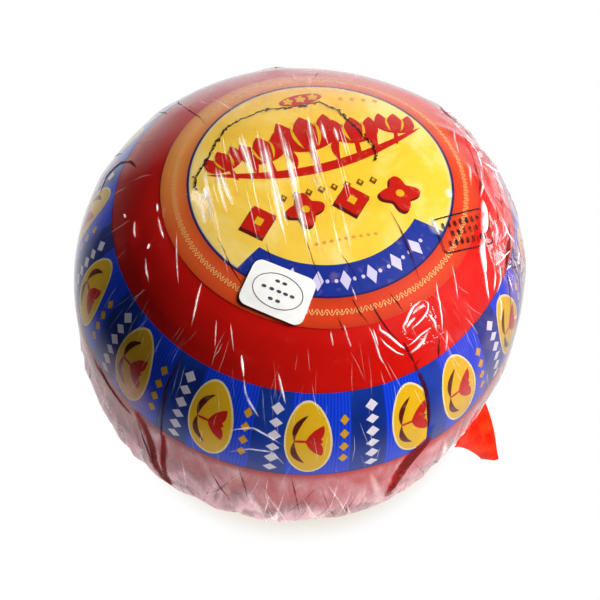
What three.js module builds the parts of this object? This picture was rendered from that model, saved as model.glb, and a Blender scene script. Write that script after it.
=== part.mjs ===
// A whole ball of cheese in its red coating, with a round printed label on top, a printed band round
// its middle, clear film drawn tight over everything and gathered underneath, an approval sticker on
// the film and the pinched red end of the film's seam.
//
// Millimetres and degrees. +Z is up and -Y is the front. The origin is the middle of the flat spot that
// the ball stands on. A place on the ball is an azimuth, counted from +X towards +Y, and a polar angle,
// counted down from the top, both seen from the ball's centre.

import * as THREE from 'three';
import { mergeVertices } from 'three/addons/utils/BufferGeometryUtils.js';

// The ball: its widest radius over the taut film, its height as a share of its width, and the power of
// its super-ellipse profile, where 2 is an ellipse and more is squarer at the shoulders.
const BALL_RADIUS = 73.6;
const HEIGHT_SHARE = 0.84;
const ROUNDNESS = 2.5;
const FOOT_POLAR = 159.5;

// It is a little fuller on the right: by how much at most, where, and how far round that reaches.
const FULLER_BY = 2.2;
const FULLER_PLACE = { azimuth: 24, polar: 72 };
const FULLER_REACH = 60;
// The film's tail is pulled tight at the front right and flattens the ball there.
const FLATTER_BY = 2.4;
const FLATTER_PLACE = { azimuth: -40, polar: 109 };
const FLATTER_REACH = 28;

// The layers, from the outside in.
const FILM_THICKNESS = 0.4;
const PRINT_THICKNESS = 0.3;
const LAYER_GAP = 0.4;
const STICKER_THICKNESS = 0.3;
const STICKER_GAP = 0.3;

// The printed pieces. Each lies square to an axis that leans a little, given by how far it has moved
// over at unit height, because both were laid on the ball by hand.
const LABEL_AXIS = new THREE.Vector3(0.108, 0.035, 1).normalize();
const LABEL_EDGE_ANGLE = 42.7;
const BAND_AXIS = new THREE.Vector3(0.079, 0, 1).normalize();
const BAND_TOP_ANGLE = 55.5;
const BAND_BOTTOM_ANGLE = 81;

// The band has slipped down on the right and a little at the back: how far at most, where, and how far
// round that reaches.
const BAND_SLIPS = [
  { angle: 12, azimuth: 40, reach: 40 },
  { angle: 3.5, azimuth: 115, reach: 40 },
];

// The approval sticker, a rounded rectangle on the film.
const STICKER_WIDTH = 19.5;
const STICKER_HEIGHT = 13.8;
const STICKER_CORNER_POWER = 7;
const STICKER_PLACE = { azimuth: -98.5, polar: 32.4 };
const STICKER_TURN = -15;

// The film: where it ends round the foot, how far its gathered skirt stands off the cheese below the
// band, and the pleats that run down the skirt to the foot.
const FILM_END_POLAR = 151;
const SKIRT_TOP_POLAR = 84;
const SKIRT_FULL_POLAR = 106;
const SKIRT_BULGE = 2.4;
const SKIRT_FULLEST_AZIMUTH = -120;
const SKIRT_LEAST_SHARE = 0.1;
const PLEAT_COUNT = 17;
const PLEAT_HEIGHT = 1.3;
const PLEAT_LEAST_SHARE = 0.3;
const PLEAT_SHARPNESS = 1.5;
const PLEAT_DRIFT = 1.2;

// Single folds in the film: a crest from one place to another, as [azimuth, polar], with its height and
// its half width.
const FOLDS = [
  // the gathered shoulder on the right
  { from: [28, 70], to: [58, 50], height: 1.1, width: 5.5 },
  { from: [6, 74], to: [30, 52], height: 0.9, width: 4.5 },
  { from: [-8, 80], to: [10, 58], height: 0.7, width: 4.5 },
  { from: [-26, 64], to: [16, 46], height: 0.8, width: 4.5 },
  { from: [20, 92], to: [40, 68], height: 0.7, width: 5 },
  { from: [48, 88], to: [62, 58], height: 0.9, width: 5 },
  // the crumpled place at the front right and the crease that runs down from it
  { from: [-74, 40], to: [-57, 54], height: 1.2, width: 4.5 },
  { from: [-46, 42], to: [-57, 60], height: 1.1, width: 4.5 },
  { from: [-57, 56], to: [-57, 100], height: 1.3, width: 4.5 },
  // the two curled pleats on the left shoulder and the tip at the back
  { from: [172, 44], to: [157, 70], height: 1.3, width: 5 },
  { from: [136, 38], to: [133, 66], height: 1.2, width: 5 },
  { from: [97, 44], to: [97, 66], height: 1.8, width: 4.5 },
];
const FOLD_END_SHARE = 0.3;

// The pinched end of the film's seam: wide where it leaves the film's underside and narrow at its tip,
// which hangs free above the ground, with a crease down its middle.
const TAIL_ROOT = { azimuth: -33.3, polar: 109.6 };
const TAIL_ROOT_GAP = 0.7;
const TAIL_TIP = { azimuth: -31.6, radius: 80, height: 12 };
const TAIL_ROOT_WIDTH = 21;
const TAIL_TIP_WIDTH = 6;
const TAIL_TAPER_POWER = 1.4;
// It twists from its root, where it lies along the ball, to its tip: the azimuths across it.
const TAIL_ROOT_ACROSS = 56.7;
const TAIL_TIP_ACROSS = 0;
const TAIL_THICKNESS = 0.7;
const TAIL_CREASE = 1.8;

// How finely each piece is divided.
const CHEESE_SEGMENTS = 48;
const CHEESE_RINGS = 19;
const LABEL_SEGMENTS = 40;
const LABEL_RINGS = 6;
const BAND_SEGMENTS = 58;
const BAND_RINGS = 4;
const FILM_SEGMENTS = 76;
const FILM_OUTER_RINGS = 40;
const FILM_INNER_RINGS = 22;
const STICKER_SEGMENTS = 28;
const STICKER_RINGS = 2;

const RADIANS = Math.PI / 180;
const UP = new THREE.Vector3(0, 0, 1);

/** A unit vector from the ball's centre to an azimuth and a polar angle in degrees. */
function towards(azimuth, polar) {
  const level = Math.sin(polar * RADIANS);
  return new THREE.Vector3(
    level * Math.cos(azimuth * RADIANS),
    level * Math.sin(azimuth * RADIANS),
    Math.cos(polar * RADIANS),
  );
}

/** A step from 0 to 1 with soft ends. */
function softStep(value) {
  const share = Math.min(Math.max(value, 0), 1);
  return share * share * (3 - 2 * share);
}

/** How much fuller the ball is in a direction. */
function fullerBy(direction) {
  const away = direction.angleTo(towards(FULLER_PLACE.azimuth, FULLER_PLACE.polar)) / RADIANS;
  return FULLER_BY * Math.min(1, 1.5 * softStep(1 - away / FULLER_REACH));
}

/** How far the ball is flattened in a direction. */
function flatterBy(direction) {
  const away = direction.angleTo(towards(FLATTER_PLACE.azimuth, FLATTER_PLACE.polar)) / RADIANS;
  return FLATTER_BY * softStep(1 - away / FLATTER_REACH);
}

/** Distance from the ball's centre to the taut film in a direction. */
function ballRadius(direction) {
  const level = Math.hypot(direction.x, direction.y);
  const upright = Math.abs(direction.z) / HEIGHT_SHARE;
  const even = BALL_RADIUS * (level ** ROUNDNESS + upright ** ROUNDNESS) ** (-1 / ROUNDNESS);
  return even + fullerBy(direction) - flatterBy(direction);
}

// How deep each layer lies under the outside of the film.
const PRINT_DEPTH = FILM_THICKNESS + LAYER_GAP;
const CHEESE_DEPTH = PRINT_DEPTH + PRINT_THICKNESS + LAYER_GAP;

// The ball's centre stands as high above the ground as the cheese's foot lies below it.
const footDirection = towards(0, FOOT_POLAR);
const CENTRE_HEIGHT = -footDirection.z * (ballRadius(footDirection) - CHEESE_DEPTH);

/** How far a fold lifts the film in a direction: a soft crest along an arc, fading at both ends. */
function foldLift(direction, fold) {
  const start = towards(...fold.from);
  const side = start.clone().cross(towards(...fold.to)).normalize();
  const forward = side.clone().cross(start);
  const sweep = start.angleTo(towards(...fold.to));
  const across = Math.asin(direction.dot(side)) * BALL_RADIUS;
  const along = Math.atan2(direction.dot(forward), direction.dot(start)) / sweep;
  const fade = softStep(along / FOLD_END_SHARE) * softStep((1 - along) / FOLD_END_SHARE);
  return fold.height * fade * Math.exp(-((across / fold.width) ** 2));
}

/** From 0 above the skirt to 1 where it is fullest and back to 0 at the film's end round the foot. */
function skirtShare(direction) {
  const polar = Math.acos(direction.z) / RADIANS;
  const opening = softStep((polar - SKIRT_TOP_POLAR) / (SKIRT_FULL_POLAR - SKIRT_TOP_POLAR));
  const closing = softStep((FILM_END_POLAR - polar) / (FILM_END_POLAR - SKIRT_FULL_POLAR));
  return opening * closing;
}

/** From a least share, opposite the skirt's fullest side, to 1 on that side. */
function fullness(azimuth, leastShare) {
  const facing = 0.5 + 0.5 * Math.cos(azimuth - SKIRT_FULLEST_AZIMUTH * RADIANS);
  return leastShare + (1 - leastShare) * facing ** 2;
}

/** How far the loose skirt stands off the taut ball in a direction. */
function skirtSlack(direction) {
  const azimuth = Math.atan2(direction.y, direction.x);
  return SKIRT_BULGE * fullness(azimuth, SKIRT_LEAST_SHARE) * skirtShare(direction);
}

/** The film's relief on top of that in a direction: the skirt's pleats and the single folds. */
function filmRelief(direction) {
  const azimuth = Math.atan2(direction.y, direction.x);
  const wave = 0.5 + 0.5 * Math.sin(PLEAT_COUNT * azimuth + PLEAT_DRIFT * Math.sin(3 * azimuth));
  const height = PLEAT_HEIGHT * fullness(azimuth, PLEAT_LEAST_SHARE) * skirtShare(direction);
  const pleat = height * wave ** PLEAT_SHARPNESS;
  return FOLDS.reduce((relief, fold) => Math.max(relief, foldLift(direction, fold)), pleat);
}

/** Equal steps from one angle to another, both included, in degrees. */
function angleSteps(first, last, count) {
  return Array.from({ length: count + 1 }, (_, i) => first + ((last - first) * i) / count);
}

/** Points of a lathe profile at one distance from the centre, at the given angles from the axis. */
function arcPoints(distance, angles) {
  return angles.map((angle) => {
    const turn = angle * RADIANS;
    return new THREE.Vector2(distance * Math.sin(turn), distance * Math.cos(turn));
  });
}

/** A lathed shell about +Z whose inside lies at distance 1 and whose outside lies at distance 2. */
function shellLathe(innerAngles, outerAngles, segments, isRing) {
  const profile = [...arcPoints(1, innerAngles), ...arcPoints(2, outerAngles)];
  if (isRing) profile.push(profile[0].clone());
  return new THREE.LatheGeometry(profile, segments).rotateX(Math.PI / 2);
}

/** Joins shared corners and drops flat triangles, so that the surface is one closed body. */
function closedBody(geometry) {
  geometry.deleteAttribute('normal');
  geometry.deleteAttribute('uv');
  const joined = mergeVertices(geometry, 1e-4);
  const corners = joined.index.array;
  const kept = [];
  for (let i = 0; i < corners.length; i += 3) {
    const [a, b, c] = corners.slice(i, i + 3);
    if (a !== b && b !== c && c !== a) kept.push(a, b, c);
  }
  joined.setIndex(kept);
  joined.computeVertexNormals();
  return joined;
}

/** Moves every corner of a geometry to the place that a function gives for it. */
function moveCorners(geometry, placeOf) {
  const positions = geometry.attributes.position;
  const corner = new THREE.Vector3();
  for (let i = 0; i < positions.count; i += 1) {
    corner.fromBufferAttribute(positions, i);
    const place = placeOf(corner);
    positions.setXYZ(i, place.x, place.y, place.z);
  }
  return geometry;
}

/**
 * Lays a lathed shell on the ball, square to an axis. The shell's distance from the lathe's centre, 1 to
 * 2, becomes the place in the layer, which starts `base` outside the taut film and is `thickness` thick.
 * `spread` scales the angle from the axis and `slip` adds to it, `slack` lifts both faces and `relief`
 * the outer face alone.
 */
function drape(shell, layer) {
  const { axis, base, thickness, turn = 0 } = layer;
  const { spread = () => 1, slip = () => 0, slack = () => 0, relief = () => 0 } = layer;
  const lean = new THREE.Quaternion().setFromUnitVectors(UP, axis);
  const draped = moveCorners(shell, (corner) => {
    const share = corner.length() - 1;
    const azimuth = Math.atan2(corner.y, corner.x) / RADIANS;
    const angle = Math.acos(corner.z / corner.length()) / RADIANS;
    const polar = angle * spread(azimuth) + slip(azimuth);
    const direction = towards(azimuth + turn, polar).applyQuaternion(lean);
    const inside = ballRadius(direction) + base + slack(direction);
    const distance = inside + share * (thickness + relief(direction));
    direction.multiplyScalar(distance);
    direction.z += CENTRE_HEIGHT;
    return direction;
  });
  return closedBody(draped);
}

function cheeseBall() {
  const profile = arcPoints(1, [180, ...angleSteps(FOOT_POLAR, 0, CHEESE_RINGS)]);
  const round = new THREE.LatheGeometry(profile, CHEESE_SEGMENTS).rotateX(Math.PI / 2);
  const cheese = moveCorners(round, (corner) => {
    const direction = corner.clone().normalize();
    const place = direction.clone().multiplyScalar(ballRadius(direction) - CHEESE_DEPTH);
    place.z = Math.max(place.z + CENTRE_HEIGHT, 0);
    return place;
  });
  return closedBody(cheese);
}

function topLabel() {
  const angles = angleSteps(0, LABEL_EDGE_ANGLE, LABEL_RINGS);
  const shell = shellLathe(angles, angles.toReversed(), LABEL_SEGMENTS, false);
  const base = -PRINT_DEPTH - PRINT_THICKNESS;
  return drape(shell, { axis: LABEL_AXIS, base, thickness: PRINT_THICKNESS });
}

/** How far the band has slipped down at an azimuth, in degrees. */
function bandSlip(azimuth) {
  return BAND_SLIPS.reduce((total, slip) => {
    const aside = ((azimuth - slip.azimuth + 540) % 360) - 180;
    return total + slip.angle * Math.exp(-((aside / slip.reach) ** 2));
  }, 0);
}

function sideBand() {
  const angles = angleSteps(BAND_TOP_ANGLE, BAND_BOTTOM_ANGLE, BAND_RINGS);
  const shell = shellLathe(angles, angles.toReversed(), BAND_SEGMENTS, true);
  const base = -PRINT_DEPTH - PRINT_THICKNESS;
  return drape(shell, { axis: BAND_AXIS, base, thickness: PRINT_THICKNESS, slip: bandSlip });
}

function clearFilm() {
  const inner = angleSteps(0, FILM_END_POLAR, FILM_INNER_RINGS);
  const outer = angleSteps(FILM_END_POLAR, 0, FILM_OUTER_RINGS);
  const shell = shellLathe(inner, outer, FILM_SEGMENTS, false);
  return drape(shell, {
    axis: UP,
    base: -FILM_THICKNESS,
    thickness: FILM_THICKNESS,
    slack: skirtSlack,
    relief: filmRelief,
  });
}

function approvalSticker() {
  const angles = angleSteps(0, 1, STICKER_RINGS);
  const shell = shellLathe(angles, angles.toReversed(), STICKER_SEGMENTS, false);
  const axis = towards(STICKER_PLACE.azimuth, STICKER_PLACE.polar);
  const degreesPerMillimetre = 1 / (ballRadius(axis) * RADIANS);
  const spread = (azimuth) => {
    const along = Math.abs(Math.cos(azimuth * RADIANS)) / (STICKER_WIDTH / 2);
    const up = Math.abs(Math.sin(azimuth * RADIANS)) / (STICKER_HEIGHT / 2);
    const power = STICKER_CORNER_POWER;
    return degreesPerMillimetre * (along ** power + up ** power) ** (-1 / power);
  };
  const thickness = STICKER_THICKNESS;
  return drape(shell, { axis, turn: STICKER_TURN, base: STICKER_GAP, thickness, spread });
}

function filmTail() {
  const root = towards(TAIL_ROOT.azimuth, TAIL_ROOT.polar);
  root.multiplyScalar(ballRadius(root) + skirtSlack(root) + filmRelief(root) + TAIL_ROOT_GAP);
  root.z += CENTRE_HEIGHT;
  const tip = towards(TAIL_TIP.azimuth, 90).multiplyScalar(TAIL_TIP.radius);
  tip.z = TAIL_TIP.height;
  const outward = towards(TAIL_ROOT_ACROSS, 90).cross(tip.clone().sub(root)).negate().normalize();
  const strip = moveCorners(new THREE.BoxGeometry(1, 1, 1, 4, 6, 1), (corner) => {
    const along = 0.5 - corner.y;
    const turn = THREE.MathUtils.lerp(TAIL_ROOT_ACROSS, TAIL_TIP_ACROSS, along);
    const taper = (1 - along) ** TAIL_TAPER_POWER;
    const width = TAIL_TIP_WIDTH + (TAIL_ROOT_WIDTH - TAIL_TIP_WIDTH) * taper;
    const crease = TAIL_CREASE * (1 - 2 * Math.abs(corner.x)) * (0.4 + 0.6 * along);
    return root.clone().lerp(tip, along)
      .addScaledVector(towards(turn, 90), corner.x * width)
      .addScaledVector(outward, corner.z * TAIL_THICKNESS + crease);
  });
  return closedBody(strip);
}

/** A named piece with its own material. */
function piece(name, geometry, colour, roughness, opacity = 1) {
  const material = new THREE.MeshStandardMaterial({ color: colour, roughness, metalness: 0 });
  material.transparent = opacity < 1;
  material.opacity = opacity;
  const mesh = new THREE.Mesh(geometry, material);
  mesh.name = name;
  return mesh;
}

const wrappedBall = new THREE.Group();
wrappedBall.add(
  piece('cheese_ball', cheeseBall(), 0xa80c0a, 0.35),
  piece('top_label', topLabel(), 0xf2d326, 0.3),
  piece('side_band', sideBand(), 0x1436b8, 0.3),
  piece('clear_film', clearFilm(), 0xf4e6e6, 0.08, 0.3),
  piece('approval_sticker', approvalSticker(), 0xfafafa, 0.5),
  piece('film_tail', filmTail(), 0xf0200c, 0.3),
);

export default wrappedBall;
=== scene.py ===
# %% [markdown]
# A whole ball of cheese in a red wax coating. A round printed label lies on top, a printed band runs round
# the middle, and clear shrink film is drawn over everything and gathered underneath. The packed model gives
# the true sizes. This script replaces each plain solid with a finer piece and gives every surface its
# finish, so first it loads that model and keeps its box to print beside the new one at the end.

# %% Load the imported model
import math
import random

import bmesh
import bpy
import numpy as np
from mathutils import Matrix, Vector


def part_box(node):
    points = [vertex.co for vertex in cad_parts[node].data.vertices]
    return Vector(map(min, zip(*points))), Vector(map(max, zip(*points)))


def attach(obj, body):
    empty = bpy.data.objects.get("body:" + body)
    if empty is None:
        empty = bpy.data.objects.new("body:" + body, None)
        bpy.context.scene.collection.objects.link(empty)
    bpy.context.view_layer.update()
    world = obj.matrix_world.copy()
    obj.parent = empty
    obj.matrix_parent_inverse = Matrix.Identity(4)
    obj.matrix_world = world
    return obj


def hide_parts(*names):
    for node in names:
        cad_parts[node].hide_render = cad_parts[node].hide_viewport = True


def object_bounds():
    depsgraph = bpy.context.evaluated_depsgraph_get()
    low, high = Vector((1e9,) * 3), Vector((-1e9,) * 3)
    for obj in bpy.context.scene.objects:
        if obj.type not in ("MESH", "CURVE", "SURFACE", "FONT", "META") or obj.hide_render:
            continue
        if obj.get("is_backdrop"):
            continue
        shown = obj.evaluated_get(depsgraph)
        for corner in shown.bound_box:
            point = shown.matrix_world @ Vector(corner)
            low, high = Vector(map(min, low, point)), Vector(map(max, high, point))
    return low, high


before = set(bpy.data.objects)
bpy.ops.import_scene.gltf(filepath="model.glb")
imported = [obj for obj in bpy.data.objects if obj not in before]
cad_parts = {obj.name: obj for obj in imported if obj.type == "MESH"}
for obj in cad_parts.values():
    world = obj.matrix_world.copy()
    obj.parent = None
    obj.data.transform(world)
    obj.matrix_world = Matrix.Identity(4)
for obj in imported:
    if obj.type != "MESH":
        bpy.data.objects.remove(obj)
cad_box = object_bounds()
print("nodes:", sorted(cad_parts))

# %% [markdown]
# The ball is a super-ellipsoid, which is an ellipse squared off a little at the shoulders, as a cheese is
# that was pressed in a rounded mould. It is a little fuller on the right and flattened at the front
# right, where the film's tail pulls. A mesh sphere could be sculpted to that, but every layer has to lie
# on the same form, so one function gives the distance from the centre in any direction. Its driving
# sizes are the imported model's own, in millimetres and degrees. The centre's height is worked out from
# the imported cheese, whose top lies a known depth under the film. A place on the ball is an azimuth from
# +X towards +Y and a polar angle down from the top.

# %% The ball that every layer is laid on
MM = 0.001
BALL_RADIUS = 73.6
HEIGHT_SHARE = 0.84
# The profile's power: 2 is an ellipse, and more is squarer.
ROUNDNESS = 2.5
FULLER_BY = 2.2
FULLER_PLACE = (24, 72)
FULLER_REACH = 60
FLATTER_BY = 2.4
FLATTER_PLACE = (-40, 109)
FLATTER_REACH = 28
PACKED_CHEESE_DEPTH = 1.5

# The label and the band lie square to axes that lean a little, because both were laid on by hand.
LABEL_AXIS = Vector((0.108, 0.035, 1)).normalized()
LABEL_EDGE = 42.7
LABEL_TURN = 15.8
BAND_AXIS = Vector((0.079, 0, 1)).normalized()
BAND_TOP = 55.5
BAND_BOTTOM = 81
# Where the band has slipped down: how far at most, at which azimuth, and how far round that reaches.
BAND_SLIPS = [(12, 40, 40), (3.5, 115, 40)]
UP = Vector((0, 0, 1))

centre_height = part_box("cheese_ball")[1].z / MM - (HEIGHT_SHARE * BALL_RADIUS - PACKED_CHEESE_DEPTH)
CENTRE = np.array([0, 0, centre_height])
print(f"the ball's centre is {centre_height:.2f} mm above the table")


def towards(azimuth, polar):
    """Unit vectors from the ball's centre, one for each pair of angles in degrees."""
    azimuth, polar = np.broadcast_arrays(np.radians(azimuth), np.radians(polar))
    level = np.sin(polar)
    return np.stack([level * np.cos(azimuth), level * np.sin(azimuth), np.cos(polar)], axis=-1)


def leaned(direction, axis):
    """The directions turned with +Z leaned over to an axis."""
    return direction @ np.array(UP.rotation_difference(axis).to_matrix()).T


def soft_step(value):
    """A step from 0 to 1 with soft ends."""
    share = np.clip(value, 0, 1)
    return share * share * (3 - 2 * share)


def near(direction, azimuth, polar, reach):
    """1 at a place, falling softly to 0 at a reach in degrees from it."""
    away = np.degrees(np.arccos(np.clip(direction @ towards(azimuth, polar), -1, 1)))
    return soft_step(1 - away / reach)


def ball_radius(direction):
    """Distance from the centre to the taut film, in millimetres."""
    level = np.hypot(direction[..., 0], direction[..., 1])
    upright = np.abs(direction[..., 2]) / HEIGHT_SHARE
    even = BALL_RADIUS * (level**ROUNDNESS + upright**ROUNDNESS) ** (-1 / ROUNDNESS)
    fuller = FULLER_BY * np.clip(1.5 * near(direction, *FULLER_PLACE, FULLER_REACH), 0, 1)
    return even + fuller - FLATTER_BY * near(direction, *FLATTER_PLACE, FLATTER_REACH)

# %% [markdown]
# The camera looks down on the ball from the front, far enough away for a long lens. Its place is given
# from the ball's centre, and the lens is for a square picture. The view transform is Standard, so that
# printed colours come out as they were mixed.

# %% Camera
scene = bpy.context.scene
CAMERA_DISTANCE = 423.8
CAMERA_ELEVATION = 58.4
AIM_RIGHT = 1.08
AIM_UP = -3.79
SENSOR_WIDTH = 36
LENS = 75.2

rise = math.radians(CAMERA_ELEVATION)
from_centre = Vector((0, -math.cos(rise), math.sin(rise)))
camera_up = Vector((0, math.sin(rise), math.cos(rise)))
ball_centre = Vector((0, 0, centre_height)) * MM
aim_point = ball_centre + (Vector((AIM_RIGHT, 0, 0)) + camera_up * AIM_UP) * MM


def aimed(thing, place, target):
    """Links an object at a place, with its -Z axis towards a target."""
    scene.collection.objects.link(thing)
    thing.location = place
    thing.rotation_euler = (target - place).to_track_quat("-Z", "Y").to_euler()
    return thing


camera_data = bpy.data.cameras.new("camera")
camera_data.sensor_width = SENSOR_WIDTH
camera_data.lens = LENS
scene.camera = aimed(
    bpy.data.objects.new("camera", camera_data),
    ball_centre + from_centre * CAMERA_DISTANCE * MM,
    aim_point,
)
scene.view_settings.view_transform = "Standard"
print("camera at", [round(value / MM) for value in scene.camera.location], "mm")

# %% [markdown]
# Real finishes are mixed by eye, so every colour is an sRGB hex value that one function turns into the
# linear light that shaders reckon in. A material is a small graph of nodes. It could be drawn in the
# shader editor, but written out with one helper that adds any node with its settings and links, it reads
# as a recipe from real sizes to a surface.

# %% Colours and nodes
def linear(hex_colour):
    """An sRGB hex colour as the linear values that shaders work in."""
    channels = [int(hex_colour[i : i + 2], 16) / 255 for i in (1, 3, 5)]
    return (*[c / 12.92 if c <= 0.04045 else ((c + 0.055) / 1.055) ** 2.4 for c in channels], 1)


def node(tree, kind, inputs=(), **settings):
    """Adds a shader node, makes its settings, and fills its inputs, in order or by name or number.

    A value may be a number, a hex colour, a socket to link, or a node, whose first live output it links.
    """
    made = tree.nodes.new("ShaderNode" + kind)
    for name, value in settings.items():
        setattr(made, name, value)
    for socket, value in inputs.items() if isinstance(inputs, dict) else enumerate(inputs):
        if isinstance(value, bpy.types.Node):
            value = next(output for output in value.outputs if output.enabled)
        if isinstance(value, bpy.types.NodeSocket):
            tree.links.new(value, made.inputs[socket])
        else:
            made.inputs[socket].default_value = linear(value) if isinstance(value, str) else value
    return made


def new_material(name):
    """An empty node material, as (material, node tree)."""
    material = bpy.data.materials.new(name)
    material.use_nodes = True
    material.node_tree.nodes.clear()
    print("material:", name)
    return material, material.node_tree


def set_stops(ramp, stops):
    """Gives a colour ramp its stops, a list of (place, hex colour)."""
    elements = ramp.color_ramp.elements
    while len(elements) < len(stops):
        elements.new(1)
    for element, (place, hex_colour) in zip(elements, stops):
        element.position = place
        element.color = linear(hex_colour)
    return ramp


print("mid grey is", round(linear("#808080")[0], 3), "in linear light")

# %% [markdown]
# The ball stands on a plain white table. A shadow catcher would need a second render, so the table glows
# evenly instead and is darkened only close to the ball, where ambient occlusion gives the soft contact
# shadow. Reflections, bounced light and shadows leave it out, because its glow has a lamp of its own.

# %% The floor
FLOOR_SIZE = 40
SHADOW_REACH = 18 * MM
SHADOW_TONES = [(0.1, "#a08f78"), (0.5, "#e4d9c9"), (0.85, "#ffffff")]

table_top, tree = new_material("light table, white acrylic")
closeness = node(tree, "AmbientOcclusion", {"Distance": SHADOW_REACH}, samples=16).outputs["AO"]
glow = set_stops(node(tree, "ValToRGB", [closeness]), SHADOW_TONES)
board = node(tree, "Emission", {"Color": glow, "Strength": 1.0})
node(tree, "OutputMaterial", {"Surface": board})

bm = bmesh.new()
bmesh.ops.create_grid(bm, x_segments=1, y_segments=1, size=FLOOR_SIZE / 2)
floor_mesh = bpy.data.meshes.new("floor")
bm.to_mesh(floor_mesh)
bm.free()
floor_mesh.materials.append(table_top)
floor = bpy.data.objects.new("floor", floor_mesh)
scene.collection.objects.link(floor)
floor.visible_glossy = False
floor.visible_diffuse = False
floor.visible_shadow = False
floor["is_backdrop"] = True
print("the table is", FLOOR_SIZE, "m wide")

# %% [markdown]
# Clear film shows mostly what it reflects, so the light that colours the ball and the light that shines
# in the film are set apart. Soft boxes, which reflections don't see, light the ball: a strong one on
# the right, one low behind the left, and one from below in front that stands for light thrown back by
# the white table. Small bright cards and a low window, which only reflections see, give the film its
# white streaks.

# %% Lights
def soft_box(name, azimuth, elevation, width, height, radiance, gloss_only=False, distance=1.0):
    """An area lamp facing the ball, for its colour or only for reflections. Sizes are in metres."""
    lamp = bpy.data.lights.new(name, "AREA")
    lamp.shape = "RECTANGLE"
    lamp.size = width
    lamp.size_y = height
    lamp.energy = radiance * math.pi * width * height
    place = ball_centre + Vector(towards(azimuth, 90 - elevation)) * distance
    made = aimed(bpy.data.objects.new(name, lamp), place, ball_centre)
    made.visible_glossy = gloss_only
    made.visible_diffuse = not gloss_only
    return made


soft_box("soft box right", -4, 49, 0.5, 0.5, 19.6)
soft_box("soft box behind left", 147, -8, 0.5, 0.5, 9.3)
soft_box("table glow", -80, -29, 0.5, 0.5, 10.9)
soft_box("low window", 26, 0, 0.5, 0.2, 6, gloss_only=True)
soft_box("card behind left", 131, 50, 0.06, 0.16, 5, gloss_only=True)
soft_box("card front right", -16, 30, 0.1, 0.16, 12, gloss_only=True)

# %% [markdown]
# At a low angle the film mirrors the room, and that is what makes its edges pale. So the room is dark in
# front and overhead, and grows bright towards the windows behind the ball and towards the table below.
# It could be a picture of a studio, but two soft gradients are enough for film this crumpled.

# %% The room
ROOM_DARK = 0.012
WINDOWS_BRIGHT = 1.0
WINDOWS_TOWARDS = Vector((0.06, 0.88, -0.47)).normalized()
# Each fade starts and ends where the looking direction reaches so far towards the windows, or upwards.
WINDOWS_FADE = (0.45, 0.87)
TABLE_BRIGHT = 0.45
TABLE_FADE = (-0.3, -0.8)

world = bpy.data.worlds.new("room")
scene.world = world
world.use_nodes = True
tree = world.node_tree
tree.nodes.clear()
look = node(tree, "TexCoord").outputs["Generated"]
aside = node(tree, "VectorMath", [look, WINDOWS_TOWARDS], operation="DOT_PRODUCT").outputs["Value"]
windows = node(tree, "MapRange", [aside, *WINDOWS_FADE, ROOM_DARK, WINDOWS_BRIGHT])
height = node(tree, "SeparateXYZ", [look]).outputs["Z"]
table = node(tree, "MapRange", [height, *TABLE_FADE, 0, TABLE_BRIGHT], interpolation_type="SMOOTHSTEP")
bright = node(tree, "Math", [windows, table], operation="MAXIMUM")
# The room only shows in reflections. Straight past the ball there is plain white.
seen = node(tree, "LightPath").outputs["Is Camera Ray"]
bright = node(tree, "Math", [bright, seen], operation="MAXIMUM")
backdrop = node(tree, "Background", {"Color": "#ffffff", "Strength": bright})
node(tree, "OutputWorld", {"Surface": backdrop})
print("the room's nodes:", len(tree.nodes))

# %% [markdown]
# Every layer is made in two steps. It is cut flat or round in plain units first, where bmesh operators
# can shape it, and then each vertex is moved to its place on the ball. A Shrinkwrap modifier would need
# a finished ball to wrap onto and would pull the print about, while a function keeps every line of the
# print at its true size. One helper turns the finished bmesh into an object at the origin that rides on
# the part's only body.

# %% Laying a mesh on the ball
SMOOTH_UP_TO = math.radians(50)


def to_piece(bm, name, material, place_of, replaces=None):
    """Makes a bmesh an object, moves its vertices, and ties it to the frame."""
    mesh = bpy.data.meshes.new(name)
    bm.to_mesh(mesh)
    bm.free()
    flat = np.empty(len(mesh.vertices) * 3)
    mesh.vertices.foreach_get("co", flat)
    mesh.vertices.foreach_set("co", (place_of(flat.reshape(-1, 3)) * MM).ravel())
    mesh.polygons.foreach_set("use_smooth", [True] * len(mesh.polygons))
    mesh.set_sharp_from_angle(angle=SMOOTH_UP_TO)
    mesh.materials.append(material)
    mesh.update()
    piece = bpy.data.objects.new(name, mesh)
    scene.collection.objects.link(piece)
    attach(piece, "root")
    if replaces:
        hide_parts(replaces)
    print(f"{name}: {len(mesh.polygons)} faces")
    return piece


def on_ball(direction, height):
    """Places in millimetres, at a height over the taut film, in the given directions."""
    return direction * (ball_radius(direction) + height)[..., None] + CENTRE


def round_flat(flat, axis, turn=0):
    """Directions for a flat layout whose x and y are degrees of arc away from an axis."""
    azimuth = np.degrees(np.arctan2(flat[:, 1], flat[:, 0])) + turn
    return leaned(towards(azimuth, np.hypot(flat[:, 0], flat[:, 1])), axis)


def waves(direction, wavelength, seed, count=14):
    """Soft noise between about -1 and 1 from a few seeded sine waves across the ball."""
    rng = np.random.default_rng(seed)
    total = 0
    for _ in range(count):
        heading = rng.normal(size=3)
        heading *= 2 * math.pi * BALL_RADIUS / wavelength / np.linalg.norm(heading)
        total = total + np.sin(direction @ heading + rng.uniform(0, 2 * math.pi))
    return total / math.sqrt(count)


print(f"the taut film's top is {on_ball(towards([0], [0]), 0)[0, 2]:.1f} mm above the table")

# %% [markdown]
# The coating is a thick skin of red wax, dipped on. It is smooth and only softly shiny, with slow changes
# of depth where the wax ran, small pits, and pale pink patches. It could be painted by hand, but noise at
# those real sizes gives the same unevenness, and one noise can drive the colour and the roughness together.

# %% Red wax coating
WAX_BLOTCH = 22 * MM
WAX_PIT = 1.6 * MM
WAX_PIT_DEPTH = 0.2 * MM
WAX_PALE_PATCH = 5 * MM
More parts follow.
